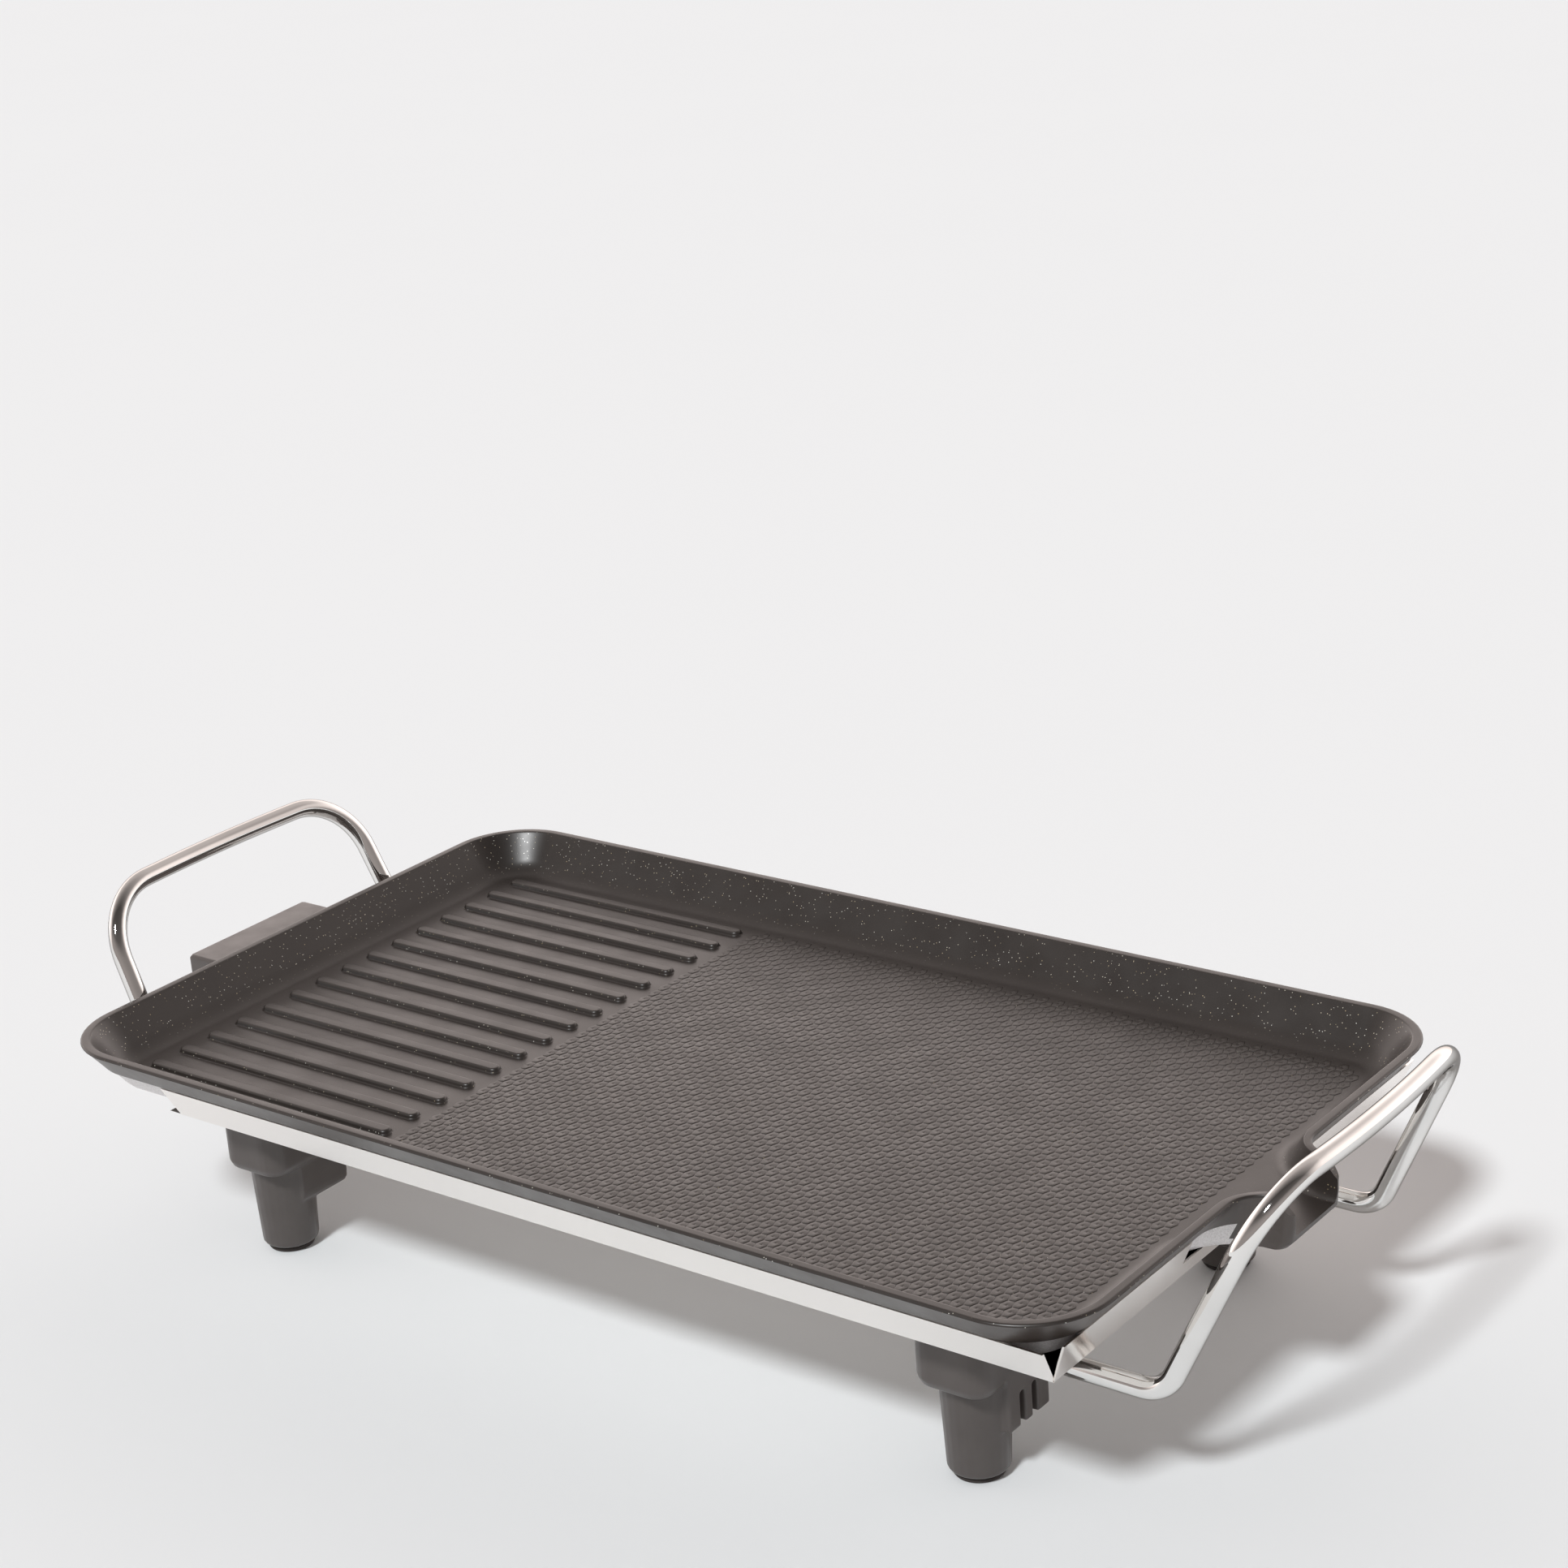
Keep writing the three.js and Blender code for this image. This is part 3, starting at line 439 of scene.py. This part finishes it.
def metal_finish(name, low, high, roughness, grain_scale=900):
    f = Finish(name, metallic=1.0)
    colour = f.ramp(f.noise(140, 4), [(0.3, low), (0.7, high)])
    grain = f.noise(grain_scale, 3, 0.6)
    rough = f.span(f.noise(260, 3), roughness[0], roughness[1])
    return f.give(base_color=colour, roughness=rough, normal=f.bump(grain, 0.15, 0.00006))


def ceramic_finish():
    f = Finish("glazed_ceramic", roughness=0.3, ior=1.5)
    colour = f.ramp(f.noise(120, 3), [(0.3, (0.70, 0.66, 0.58)), (0.7, (0.82, 0.79, 0.72))])
    rough = f.span(f.noise(300), 0.22, 0.4)
    return f.give(base_color=colour, roughness=rough, normal=f.bump(f.noise(700), 0.1, 0.0001))


def table_finish():
    f = Finish("pale_table", roughness=0.9, specular_ior_level=0.0)
    colour = f.ramp(f.noise(3, 3), [(0.3, (0.848, 0.878, 0.893)), (0.7, (0.852, 0.882, 0.897))])
    fine = f.noise(600, 3)
    return f.give(base_color=colour, roughness=f.span(fine, 0.85, 0.95), normal=f.bump(fine, 0.05, 0.0001))


COATING = coating_finish()
BAND = band_coat_and_sheen()
BARE = bare_cast_finish()
STAINLESS = stainless_finish()
CHROME = chrome_finish()
LEG = moulded_finish("leg_phenolic", (0.070, 0.060, 0.056), (0.088, 0.077, 0.072))
SHROUD = moulded_finish("shroud_phenolic", (0.080, 0.070, 0.066), (0.10, 0.088, 0.083), (0.28, 0.4))
BOARD = moulded_finish("board_laminate", (0.028, 0.018, 0.012), (0.045, 0.03, 0.02), (0.45, 0.6))
RUBBER = rubber_finish()
ZINC = metal_finish("zinc_plate", (0.50, 0.50, 0.48), (0.64, 0.63, 0.60), (0.22, 0.4))
SHEATH = metal_finish("oxidised_sheath", (0.10, 0.11, 0.09), (0.19, 0.20, 0.17), (0.4, 0.6), 1600)
BRASS = metal_finish("plain_brass", (0.56, 0.40, 0.16), (0.70, 0.52, 0.24), (0.2, 0.36))
CERAMIC = ceramic_finish()


# ---------------------------------------------------------------- repeats
def repeat_tree():
    """Instances of one object on every vertex, made real and given a material."""
    tree = bpy.data.node_groups.new("repeat_on_places", "GeometryNodeTree")
    face = tree.interface
    face.new_socket("Geometry", in_out="INPUT", socket_type="NodeSocketGeometry")
    face.new_socket("Shape", in_out="INPUT", socket_type="NodeSocketObject")
    face.new_socket("Finish", in_out="INPUT", socket_type="NodeSocketMaterial")
    size = face.new_socket("Size", in_out="INPUT", socket_type="NodeSocketFloat")
    size.default_value = 1.0
    face.new_socket("Geometry", in_out="OUTPUT", socket_type="NodeSocketGeometry")
    start = tree.nodes.new("NodeGroupInput")
    end = tree.nodes.new("NodeGroupOutput")
    points = tree.nodes.new("GeometryNodeMeshToPoints")
    info = tree.nodes.new("GeometryNodeObjectInfo")
    on_points = tree.nodes.new("GeometryNodeInstanceOnPoints")
    real = tree.nodes.new("GeometryNodeRealizeInstances")
    paint = tree.nodes.new("GeometryNodeSetMaterial")
    links = tree.links
    links.new(start.outputs["Geometry"], points.inputs["Mesh"])
    links.new(start.outputs["Shape"], info.inputs["Object"])
    links.new(points.outputs["Points"], on_points.inputs["Points"])
    links.new(info.outputs["Geometry"], on_points.inputs["Instance"])
    links.new(start.outputs["Size"], on_points.inputs["Scale"])
    links.new(on_points.outputs["Instances"], real.inputs["Geometry"])
    links.new(real.outputs["Geometry"], paint.inputs["Geometry"])
    links.new(start.outputs["Finish"], paint.inputs["Material"])
    links.new(paint.outputs["Geometry"], end.inputs["Geometry"])
    return tree


REPEAT = repeat_tree()


def repeated(name, shape_mesh, places, material):
    """A plain mesh of the shape at every place, in millimetres."""
    shape = scratch(name + "_shape", shape_mesh)
    shape_mesh.shade_smooth()
    base = bpy.data.meshes.new(name + "_places")
    base.from_pydata([(x * MM, y * MM, z * MM) for x, y, z in places], [], [])
    obj = scratch(name, base)
    modifier = obj.modifiers.new("repeat", "NODES")
    modifier.node_group = REPEAT
    values = {"Shape": shape, "Finish": material, "Size": 1.0}
    for item in REPEAT.interface.items_tree:
        if item.in_out == "INPUT" and item.name in values:
            modifier[item.identifier] = values[item.name]
    mesh = evaluated(obj, name)
    bpy.data.objects.remove(shape)
    return mesh


# ---------------------------------------------------------------- pan
def outer_inset(z):
    return (RIM_Z - z) * LEAN


def inner_inset(z):
    return LAND + (RIM_Z - z) * LEAN


def flare_at(z):
    """Radius that turns the wall into the spout: 18 at the rim, 28 at the floor."""
    return 18 + 10 * (RIM_Z - z) / (RIM_Z - FLOOR_Z)


def pan_outline(inset, flare, throat, tip, steps=14):
    """The pan's outline at an inset from the rim, with its spout out to tip."""
    ex, ey = RIM_X - inset, RIM_Y - inset
    r = max(CORNER - inset, 3)
    bend = min(flare, tip - TIP_CORNER - ex - 0.5)
    q = QUARTER
    return (
        arc(tip - TIP_CORNER, throat - TIP_CORNER, TIP_CORNER, 0, q, 6)
        + arc(ex + bend, throat + bend, bend, -q, -2 * q, steps)
        + arc(ex - r, ey - r, r, 0, q, steps)
        + arc(-ex + r, ey - r, r, q, 2 * q, steps)
        + arc(-ex + r, -ey + r, r, 2 * q, 3 * q, steps)
        + arc(ex - r, -ey + r, r, 3 * q, 4 * q, steps)
        + arc(ex + bend, -throat - bend, bend, 2 * q, q, steps)
        + arc(tip - TIP_CORNER, -throat + TIP_CORNER, TIP_CORNER, -q, 0, 6)
    )


def outer_outline(z, inset, nose=0.0):
    return pan_outline(inset, flare_at(z) - SPOUT_WALL, THROAT + SPOUT_WALL, TIP_X - nose), z


def cavity_outline(z, inset, extra=0.0):
    return pan_outline(inset, flare_at(z) + extra, THROAT - 0.3 * extra, TIP_X + 16), z


def recalc(mesh):
    bm = bmesh.new()
    bm.from_mesh(mesh)
    bmesh.ops.recalc_face_normals(bm, faces=bm.faces)
    bm.to_mesh(mesh)
    bm.free()


def pan_outside():
    """The pan without its hollow: blasted below the band, coated above."""
    low = outer_inset(UNDER_Z) + STEP
    lip = outer_inset(LIP_Z)
    levels = [
        outer_outline(UNDER_Z, low + 3, 5),
        outer_outline(UNDER_Z, low + 1.2, 4),
        outer_outline(UNDER_Z + 0.5, low + 0.2, 3),
        outer_outline(UNDER_Z + 3, outer_inset(UNDER_Z + 3) + STEP, 0.6),
        outer_outline(LIP_Z - 0.3, outer_inset(LIP_Z - 0.3) + STEP),
        outer_outline(LIP_Z, lip + STEP - 0.4),
        outer_outline(LIP_Z + 0.05, lip + 0.5),
        outer_outline(LIP_Z + 0.5, lip - 0.2),
        outer_outline(RIM_Z - 2.2, outer_inset(RIM_Z - 2.2) - 0.3),
    ]
    band_start, band_end = 6, len(levels)
    for a in (0, 20, 40, 60, 78, 90):
        t = math.radians(a)
        levels.append(outer_outline(RIM_Z - 1 + math.sin(t), 1.05 - math.cos(t), 1 - math.cos(t)))
    levels.append(outer_outline(RIM_Z, 1.5, 1.2))
    mesh = mesh_from("pan_outer", *loft(levels))
    for mat in (COATING, BAND, BARE):
        mesh.materials.append(mat)
    count = len(levels[0][0])
    for i, poly in enumerate(mesh.polygons):
        level = i // count
        spout = poly.center.x > (RIM_X - 4) * MM
        coated = 1 if level < band_end else 0
        poly.material_index = 2 if level < band_start and not spout else coated
    mesh.polygons[len(mesh.polygons) - 1].material_index = 0
    return mesh


def pan_hollow():
    """What is cut out of the pan: its floor, the round where the wall starts, and the rim's inner edge."""
    base = inner_inset(FLOOR_Z) + FILLET * math.tan(WALL_ANGLE / 2)
    levels = [cavity_outline(FLOOR_Z, base + 3, 8)]
    for i in range(10):
        a = WALL_ANGLE * i / 9
        z = FLOOR_Z + FILLET * (1 - math.cos(a))
        inset = base - FILLET * math.sin(a)
        levels.append(cavity_outline(z, inset, inset - inner_inset(z)))
    levels.append(cavity_outline(RIM_Z - 1.2, inner_inset(RIM_Z - 1.2)))
    for b in (54, 42, 30, 16, 0):
        t = math.radians(b)
        levels.append(cavity_outline(RIM_Z - 1 + math.cos(t), 3.45 + math.sin(t)))
    levels.append(cavity_outline(RIM_Z + 1, 3.4))
    mesh = mesh_from("pan_cavity", *loft(levels))
    mesh.materials.append(COATING)
    return mesh


def spout_wedge(steps=8):
    """What is cut off the spout's sides, so that they fall away to the tip."""
    start = TIP_X - 8
    end = TIP_X + 4
    profile = [(start, RIM_Z + 2), (start, RIM_Z)]
    for i in range(steps + 1):
        t = i / steps
        profile.append((start + 0.5 + LIP_RUN * t, RIM_Z - LIP_DROP * (t * t * (3 - 2 * t))))
    profile += [(end, RIM_Z - 8), (end, RIM_Z + 2)]
    n = len(profile)
    verts = [(x, y, z) for y in (-40, 40) for x, z in profile]
    faces = [tuple(range(n)), tuple(reversed(range(n, 2 * n)))]
    faces += [(i, i + n, (i + 1) % n + n, (i + 1) % n) for i in range(n)]
    mesh = mesh_from("spout_wedge", verts, faces)
    mesh.materials.append(COATING)
    return mesh


def cut_from(body, tools, name, tools_cross=False):
    """The body's mesh with the closed tool meshes cut out; tools_cross if a tool's own parts overlap."""
    cutters = [scratch(tool.name, tool) for tool in tools]
    for cutter in cutters:
        recalc(cutter.data)
        cut = body.modifiers.new("cut", "BOOLEAN")
        cut.operation = "DIFFERENCE"
        cut.solver = "EXACT"
        cut.use_self = tools_cross
        cut.object = cutter
    mesh = evaluated(body, name)
    for cutter in cutters:
        bpy.data.objects.remove(cutter)
    return mesh


def pan_mesh():
    outside = pan_outside()
    recalc(outside)
    return cut_from(scratch("pan_body", outside), [pan_hollow(), spout_wedge()], "pan_body")


def rib_mesh():
    """A raised rib with a flat top and steep rounded flanks; section points are (height, inset)."""
    hx, hy = RIB_LENGTH / 2, RIB_WIDTH / 2
    section = [(-0.3, -0.5), (0.0, -0.4), (0.06, -0.15), (0.25, 0.02), (0.8, 0.16), (1.2, 0.3), (1.5, 0.5),
               (1.7, 0.8), (1.79, 1.15), (1.8, 1.4)]
    levels = [(stadium(hx - inset, hy - inset), z) for z, inset in section]
    return mesh_from("rib", *loft(levels))


def emboss_tile(width=4.65, flat=2.3, height=6.3, rise=0.17, dimple=0.5):
    """A six-sided tile of the lattice, stretched along Y, with a dimple in its top."""

    def six(scale_x, scale_y):
        w, f, h = width / 2 * scale_x, flat / 2 * scale_x, height / 2 * scale_y
        return [(w, 0), (f, h), (-f, h), (-w, 0), (-f, -h), (f, -h)]

    def oval(rx, ry):
        sixth = math.pi / 3
        return [(rx * math.cos(i * sixth), ry * math.sin(i * sixth)) for i in range(6)]

    levels = [
        (six(1, 1), -0.05),
        (six(0.95, 0.96), rise * 0.7),
        (six(0.86, 0.89), rise),
        (oval(dimple, 1.1 * dimple), rise * 0.92),
        (oval(0.4 * dimple, 0.4 * dimple), rise * 0.1),
    ]
    return mesh_from("emboss_tile", *loft(levels))


def floor_half_y(x):
    """Half the flat floor's width at x, less at its rounded corners, and none past its end."""
    edge_x, edge_y, corner = 217.5, 117.5, 11.0
    over = abs(x) - (edge_x - corner)
    if over <= 0:
        return edge_y
    if over >= corner:
        return 0
    return edge_y - corner + math.sqrt(corner * corner - over * over)


def emboss_places(half_width=2.0, side_margin=3.0):
    """Tile places over the flat floor, each second column moved on by half a row."""
    places = []
    x = LATTICE_X
    column = 0
    while floor_half_y(x + half_width) > 0:
        half = floor_half_y(x + half_width) - side_margin
        shift = ROW_PITCH / 2 if column % 2 else 0.0
        for row in range(-20, 21):
            y = LATTICE_Y + shift + ROW_PITCH * row
            if abs(y) <= half:
                places.append((x, y, FLOOR_Z))
        column += 1
        x = LATTICE_X + COLUMN_PITCH * column
    return places


def rib_places():
    edge = RIM_X - inner_inset(FLOOR_Z) - FILLET * math.tan(WALL_ANGLE / 2)
    middle_x = -edge + RIB_START + RIB_LENGTH / 2
    return [(middle_x, (i - RIB_COUNT // 2) * RIB_PITCH, FLOOR_Z) for i in range(RIB_COUNT)]


add_piece("pan_body", pan_mesh(), COATING, "base", ["griddle_plate"], 38)
ribs = repeated("cooking_ribs", rib_mesh(), rib_places(), COATING)
add_piece("cooking_ribs", ribs, None, "base", [], 60)
lattice = repeated("embossed_lattice", emboss_tile(), emboss_places(), COATING)
add_piece("embossed_lattice", lattice, None, "base", [], 50)


def boss_profile(radius, bottom, hole):
    """A boss with a blind screw hole, flared where it meets the pan."""
    return [
        (0, bottom + 8), (hole, bottom + 8), (hole, bottom), (radius - 0.5, bottom), (radius, bottom + 0.5),
        (radius, UNDER_Z - 2.5), (radius + 0.6, UNDER_Z - 1), (radius + 2.2, UNDER_Z + 0.3),
        (0, UNDER_Z + 0.3),
    ]


def boss_mesh():
    """The bosses under the pan for the legs, the clamps and the shroud."""
    parts = []
    for sx in (-1, 1):
        for sy in (-1, 1):
            parts.append(turned(boss_profile(6.4, 60.45, 2.85), 32, "z", (sx * LEG_X, sy * LEG_Y)))
    for x in CLAMP_XS:
        for sy in (-1, 1):
            parts.append(turned(boss_profile(4.9, 68.95, 2.35), 28, "z", (x, sy * CLAMP_Y)))
    for side, bottom in ((-1, 54.95), (1, 56.05)):
        parts.append(turned(boss_profile(3.95, bottom, 2.35), 28, "z", (PILLAR_X, side * PILLAR_Y)))
    return mesh_from("pan_bosses", *merged(parts))


add_piece("pan_bosses", boss_mesh(), BARE, "base", [], 40)


# ---------------------------------------------------------------- moulded legs and shroud
def softened(node, name, voxel, passes, keep):
    """A copy of a CAD solid with its moulded edges rounded: remeshed, smoothed and thinned."""
    mesh = nodes[node].data.copy()
    mesh.materials.clear()
    bm = bmesh.new()
    bm.from_mesh(mesh)
    bmesh.ops.remove_doubles(bm, verts=bm.verts, dist=1e-6)
    bm.to_mesh(mesh)
    bm.free()
    obj = scratch(name, mesh)
    remesh = obj.modifiers.new("remesh", "REMESH")
    remesh.mode = "VOXEL"
    remesh.voxel_size = voxel * MM
    soften = obj.modifiers.new("soften", "SMOOTH")
    soften.factor = 0.5
    soften.iterations = passes
    thin = obj.modifiers.new("thin", "DECIMATE")
    thin.ratio = keep
    return evaluated(obj, name)


for quarter, _, _ in FOUR_LEGS:
    mesh = softened("leg_" + quarter, "moulded_leg_" + quarter, 0.55, 6, 0.35)
    add_piece("moulded_leg_" + quarter, mesh, LEG, "base", ["leg_" + quarter], 80)

mesh = softened("terminal_shroud", "inlet_shroud", 0.5, 2, 0.22)
add_piece("inlet_shroud", mesh, SHROUD, "base", ["terminal_shroud"], 80)


# ---------------------------------------------------------------- handles and element
def handle_points(side, steps=16):
    """Along one handle: from one leg out and up, across the bowed grip, and back to the other leg."""
    corners = [
        ((STUB_END, -STUB_Y, STUB_Z), 0),
        ((LOWER_X, -STUB_Y, STUB_Z), LOWER_BEND),
        ((GRIP_X, -GRIP_Y, GRIP_Z), GRIP_BEND),
        ((GRIP_X + BOW, 0, GRIP_Z), BOW_RADIUS),
        ((GRIP_X, GRIP_Y, GRIP_Z), GRIP_BEND),
        ((LOWER_X, STUB_Y, STUB_Z), LOWER_BEND),
        ((STUB_END, STUB_Y, STUB_Z), 0),
    ]
    if side < 0:
        corners = [((-x, -y, z), r) for (x, y, z), r in corners]
    return bent_points(corners, steps)


for name, side in (("left_handle", -1), ("right_handle", 1)):
    mesh = mesh_from(name + "_wire", *wire(handle_points(side), WIRE_RADIUS, 36, 0.7))
    add_piece(name + "_wire", mesh, CHROME, name, [name], 50)


def element_points(steps=10):
    """Along the rod: from one cold end round the pan and back to the other."""

    def half(side):
        cold, outer, inner = side * COLD_Y, side * OUTER_RUN, side * INNER_RUN
        return [
            ((COLD_X, cold, COLD_Z), 0),
            ((COLD_X + 12, cold, COLD_Z), COLD_BEND),
            ((-188, cold, ROD_Z), COLD_BEND),
            ((-174, cold, ROD_Z), COLD_BEND),
            ((-174, outer, ROD_Z), ROD_BEND),
            ((190, outer, ROD_Z), ROD_BEND),
            ((190, inner, ROD_Z), ROD_BEND),
            ((-140, inner, ROD_Z), ROD_BEND),
        ]

    return bent_points(half(-1) + list(reversed(half(1))), steps)


mesh = mesh_from("element_rod", *wire(element_points(), ROD_RADIUS, 20))
add_piece("element_rod", mesh, SHEATH, "base", ["heating_element"], 50)


# ---------------------------------------------------------------- feet, screws and pins
def pad_profile():
    """A foot pad, hollowed a little underneath, and its stem."""
    return [
        (0, 0.35), (4, 0.35), (4.6, 0), (8.3, 0), (9.1, 0.25), (9.45, 0.8), (9.45, 1.5), (9.2, 1.8),
        (4.85, 1.82), (4.85, 11.6), (4.4, 11.95), (0, 11.95),
    ]


for quarter, sx, sy in FOUR_LEGS:
    mesh = mesh_from("pad_" + quarter, *turned(pad_profile(), 44, "z", (sx * LEG_X, sy * LEG_Y)))
    add_piece("pad_" + quarter, mesh, RUBBER, "base", ["foot_pad_" + quarter], 40)


def cross_recess(name, head_radius, head_height, bottom):
    """Two crossed bars that taper up into a screw's head."""
    depth = head_height * 0.6
    long, short = head_radius * 0.6, head_radius * 0.16
    verts, faces = [], []
    for hx, hy in ((long, short), (short, long)):
        n = len(verts)
        for z, k in ((bottom - 0.5, 1.15), (bottom + depth, 0.45)):
            x, y = hx * k, hy * k
            verts += [(x, y, z), (-x, y, z), (-x, -y, z), (x, -y, z)]
        faces += [(n + 3, n + 2, n + 1, n), (n + 4, n + 5, n + 6, n + 7)]
        faces += [(n + i, n + (i + 1) % 4, n + 4 + (i + 1) % 4, n + 4 + i) for i in range(4)]
    return mesh_from(name, verts, faces)


def screw_mesh(name, head_radius, head_height, shank, bottom, tip):
    """A cross-recessed pan-head screw with ringed threads, its head underneath."""
    neck = bottom + head_height
    profile = [
        (0, bottom), (head_radius * 0.45, bottom + 0.02), (head_radius * 0.78, bottom + head_height * 0.12),
        (head_radius * 0.95, bottom + head_height * 0.4), (head_radius, bottom + head_height * 0.75),
        (head_radius, neck), (shank, neck),
    ]
    z = neck + 0.4
    while z < tip - 1.6:
        profile += [(shank, z), (shank - 0.32, z + 0.35), (shank, z + 0.7)]
        z += 0.8
    profile += [(shank - 0.5, tip - 0.8), (0, tip)]
    body = scratch(name, mesh_from(name, *turned(profile, 28)))
    recess = cross_recess(name + "_cross", head_radius, head_height, bottom)
    return cut_from(body, [recess], name, tools_cross=True)


leg_places = [(sx * LEG_X, sy * LEG_Y, 0) for sx in (-1, 1) for sy in (-1, 1)]
mesh = repeated("leg_screws", screw_mesh("leg_screw", 4.6, 3.4, 2.5, 26.25, 72.8), leg_places, ZINC)
leg_screw_nodes = ["leg_screw_" + quarter for quarter, _, _ in FOUR_LEGS]
add_piece("leg_screws", mesh, None, "base", leg_screw_nodes, 40)

clamp_places = [(x, y, 0) for x in CLAMP_XS for y in (-CLAMP_Y, CLAMP_Y)]
mesh = repeated("clamp_screws", screw_mesh("clamp_screw", 3.6, 2.4, 2.0, 64.35, 74.0), clamp_places, ZINC)
clamp_screw_nodes = [f"clamp_screw_{row}_{i}" for row in ("front", "back") for i in (1, 2)]
add_piece("clamp_screws", mesh, None, "base", clamp_screw_nodes, 40)

pillar_places = [(PILLAR_X, -PILLAR_Y, 0), (PILLAR_X, PILLAR_Y, 0)]
mesh = repeated("shroud_screws", screw_mesh("shroud_screw", 3.6, 2.4, 2.0, 49.25, 65.6), pillar_places, ZINC)
shroud_screw_nodes = ["shroud_screw_front", "shroud_screw_back"]
add_piece("shroud_screws", mesh, None, "base", shroud_screw_nodes, 40)


def pin_profile(radius, outer):
    """A pin with a rounded outer end and a collar inside the board."""
    collar = radius + 0.85
    return [
        (0, outer), (radius * 0.45, outer + 0.15), (radius * 0.8, outer + 0.9), (radius, outer + 2.4),
        (radius, BOARD_FRONT), (collar, BOARD_FRONT + 0.1), (collar, PIN_INNER), (0, PIN_INNER),
    ]


for name, radius, outer, y, z in (
    ("line_pin", 3.0, -250, -COLD_Y, COLD_Z),
    ("neutral_pin", 3.0, -250, COLD_Y, COLD_Z),
    ("earth_pin", 2.4, -244, 0, 60),
):
    mesh = mesh_from(name + "_round", *turned(pin_profile(radius, outer), 32, "x", (y, z)))
    recalc(mesh)
    add_piece(name + "_round", mesh, BRASS, "base", [name], 40)


# ---------------------------------------------------------------- CAD pieces kept as they are
KEPT = {
    "heat_shield_tray": STAINLESS,
    "probe_guide_tube": ZINC,
    "terminal_board": BOARD,
    "earth_strap": BRASS,
    "element_bush_front": CERAMIC,
    "element_bush_back": CERAMIC,
}
for row in ("front", "back"):
    for i in (1, 2):
        KEPT[f"element_clamp_{row}_{i}"] = ZINC
for name, material in KEPT.items():
    mesh = nodes[name].data
    mesh.materials.clear()
    mesh.materials.append(material)

# ---------------------------------------------------------------- table, light and camera
def add_table(half=30):
    """A wide flat table top at Z 0; half is in metres."""
    mesh = bpy.data.meshes.new("table_top")
    corners = [(-half, -half, 0), (half, -half, 0), (half, half, 0), (-half, half, 0)]
    mesh.from_pydata(corners, [], [(0, 1, 2, 3)])
    mesh.materials.append(table_finish())
    table = scratch("table_top", mesh)


def add_sun(name, direction, strength, angle, colour):
    """A far light; direction points from the table towards the light."""
    light = bpy.data.lights.new(name, "SUN")
    light.energy = strength
    light.angle = math.radians(angle)
    light.color = colour
    scratch(name, light).rotation_euler = Vector(direction).to_track_quat("Z", "Y").to_euler()


def map_range(tree, value, names):
    """A Map Range node fed by value, with its named inputs set."""
    node = tree.nodes.new("ShaderNodeMapRange")
    for name, number in names.items():
        node.inputs[name].default_value = number
    tree.links.new(value, node.inputs["Value"])
    return node.outputs["Result"]


def soft_studio():
    """A plain warm surround: bright low behind the griddle, darker overhead and in front."""
    world = bpy.data.worlds.new("soft_studio")
    bpy.context.scene.world = world
    world.use_nodes = True
    tree = world.node_tree
    links = tree.links
    direction = tree.nodes.new("ShaderNodeTexCoord").outputs["Generated"]
    split = tree.nodes.new("ShaderNodeSeparateXYZ")
    links.new(direction, split.inputs["Vector"])
    height = tree.nodes.new("ShaderNodeValToRGB")
    links.new(map_range(tree, split.outputs["Z"], {"From Min": -1}), height.inputs["Fac"])
    stops = [(0.0, 0.6), (0.49, 0.8), (0.5, 1.85), (0.62, 1.85), (0.72, 1.45), (0.82, 0.6), (1.0, 0.34)]
    while len(height.color_ramp.elements) < len(stops):
        height.color_ramp.elements.new(0.5)
    for element, (place, light) in zip(height.color_ramp.elements, stops):
        element.position = place
        element.color = (light, 0.89 * light, 0.85 * light, 1)
    behind = tree.nodes.new("ShaderNodeVectorMath")
    behind.operation = "DOT_PRODUCT"
    behind.inputs[1].default_value = (-0.62, 0.78, 0)
    links.new(direction, behind.inputs[0])
    front = {"From Min": -0.25, "From Max": 0.45, "To Min": 0.16, "To Max": 1.0}
    both = tree.nodes.new("ShaderNodeMix")
    both.data_type = "RGBA"
    both.blend_type = "MULTIPLY"
    both.inputs[0].default_value = 1.0
    links.new(height.outputs["Color"], both.inputs[6])
    links.new(map_range(tree, behind.outputs["Value"], front), both.inputs[7])
    background = tree.nodes["Background"]
    background.inputs["Strength"].default_value = 1.1
    links.new(both.outputs[2], background.inputs["Color"])


def add_camera(place, azimuth, pitch, roll, lens):
    """A camera at place that looks down by pitch, turned left of +Y by azimuth; angles in degrees."""
    a, p, r = math.radians(azimuth), math.radians(pitch), math.radians(roll)
    ahead = Vector((-math.sin(a) * math.cos(p), math.cos(a) * math.cos(p), -math.sin(p)))
    level_right = Vector((math.cos(a), math.sin(a), 0))
    level_up = level_right.cross(ahead)
    right = level_right * math.cos(r) + level_up * math.sin(r)
    up = level_up * math.cos(r) - level_right * math.sin(r)
    data = bpy.data.cameras.new("camera")
    data.sensor_width = 36
    data.lens = lens
    data.clip_end = 100
    data.dof.use_dof = False
    camera = scratch("camera", data)
    turn = Matrix((right, up, -ahead)).transposed().to_4x4()
    camera.matrix_world = Matrix.Translation(place) @ turn
    bpy.context.scene.camera = camera


add_table()
add_sun("key_light", (0.10, -0.64, 0.765), 2.25, 9, (0.985, 1.0, 1.01))
soft_studio()
add_camera((0.73392, -0.88316, 0.61025), 38.306, 19.789, -4.194, 73.727)
bpy.context.scene.view_settings.view_transform = "Standard"
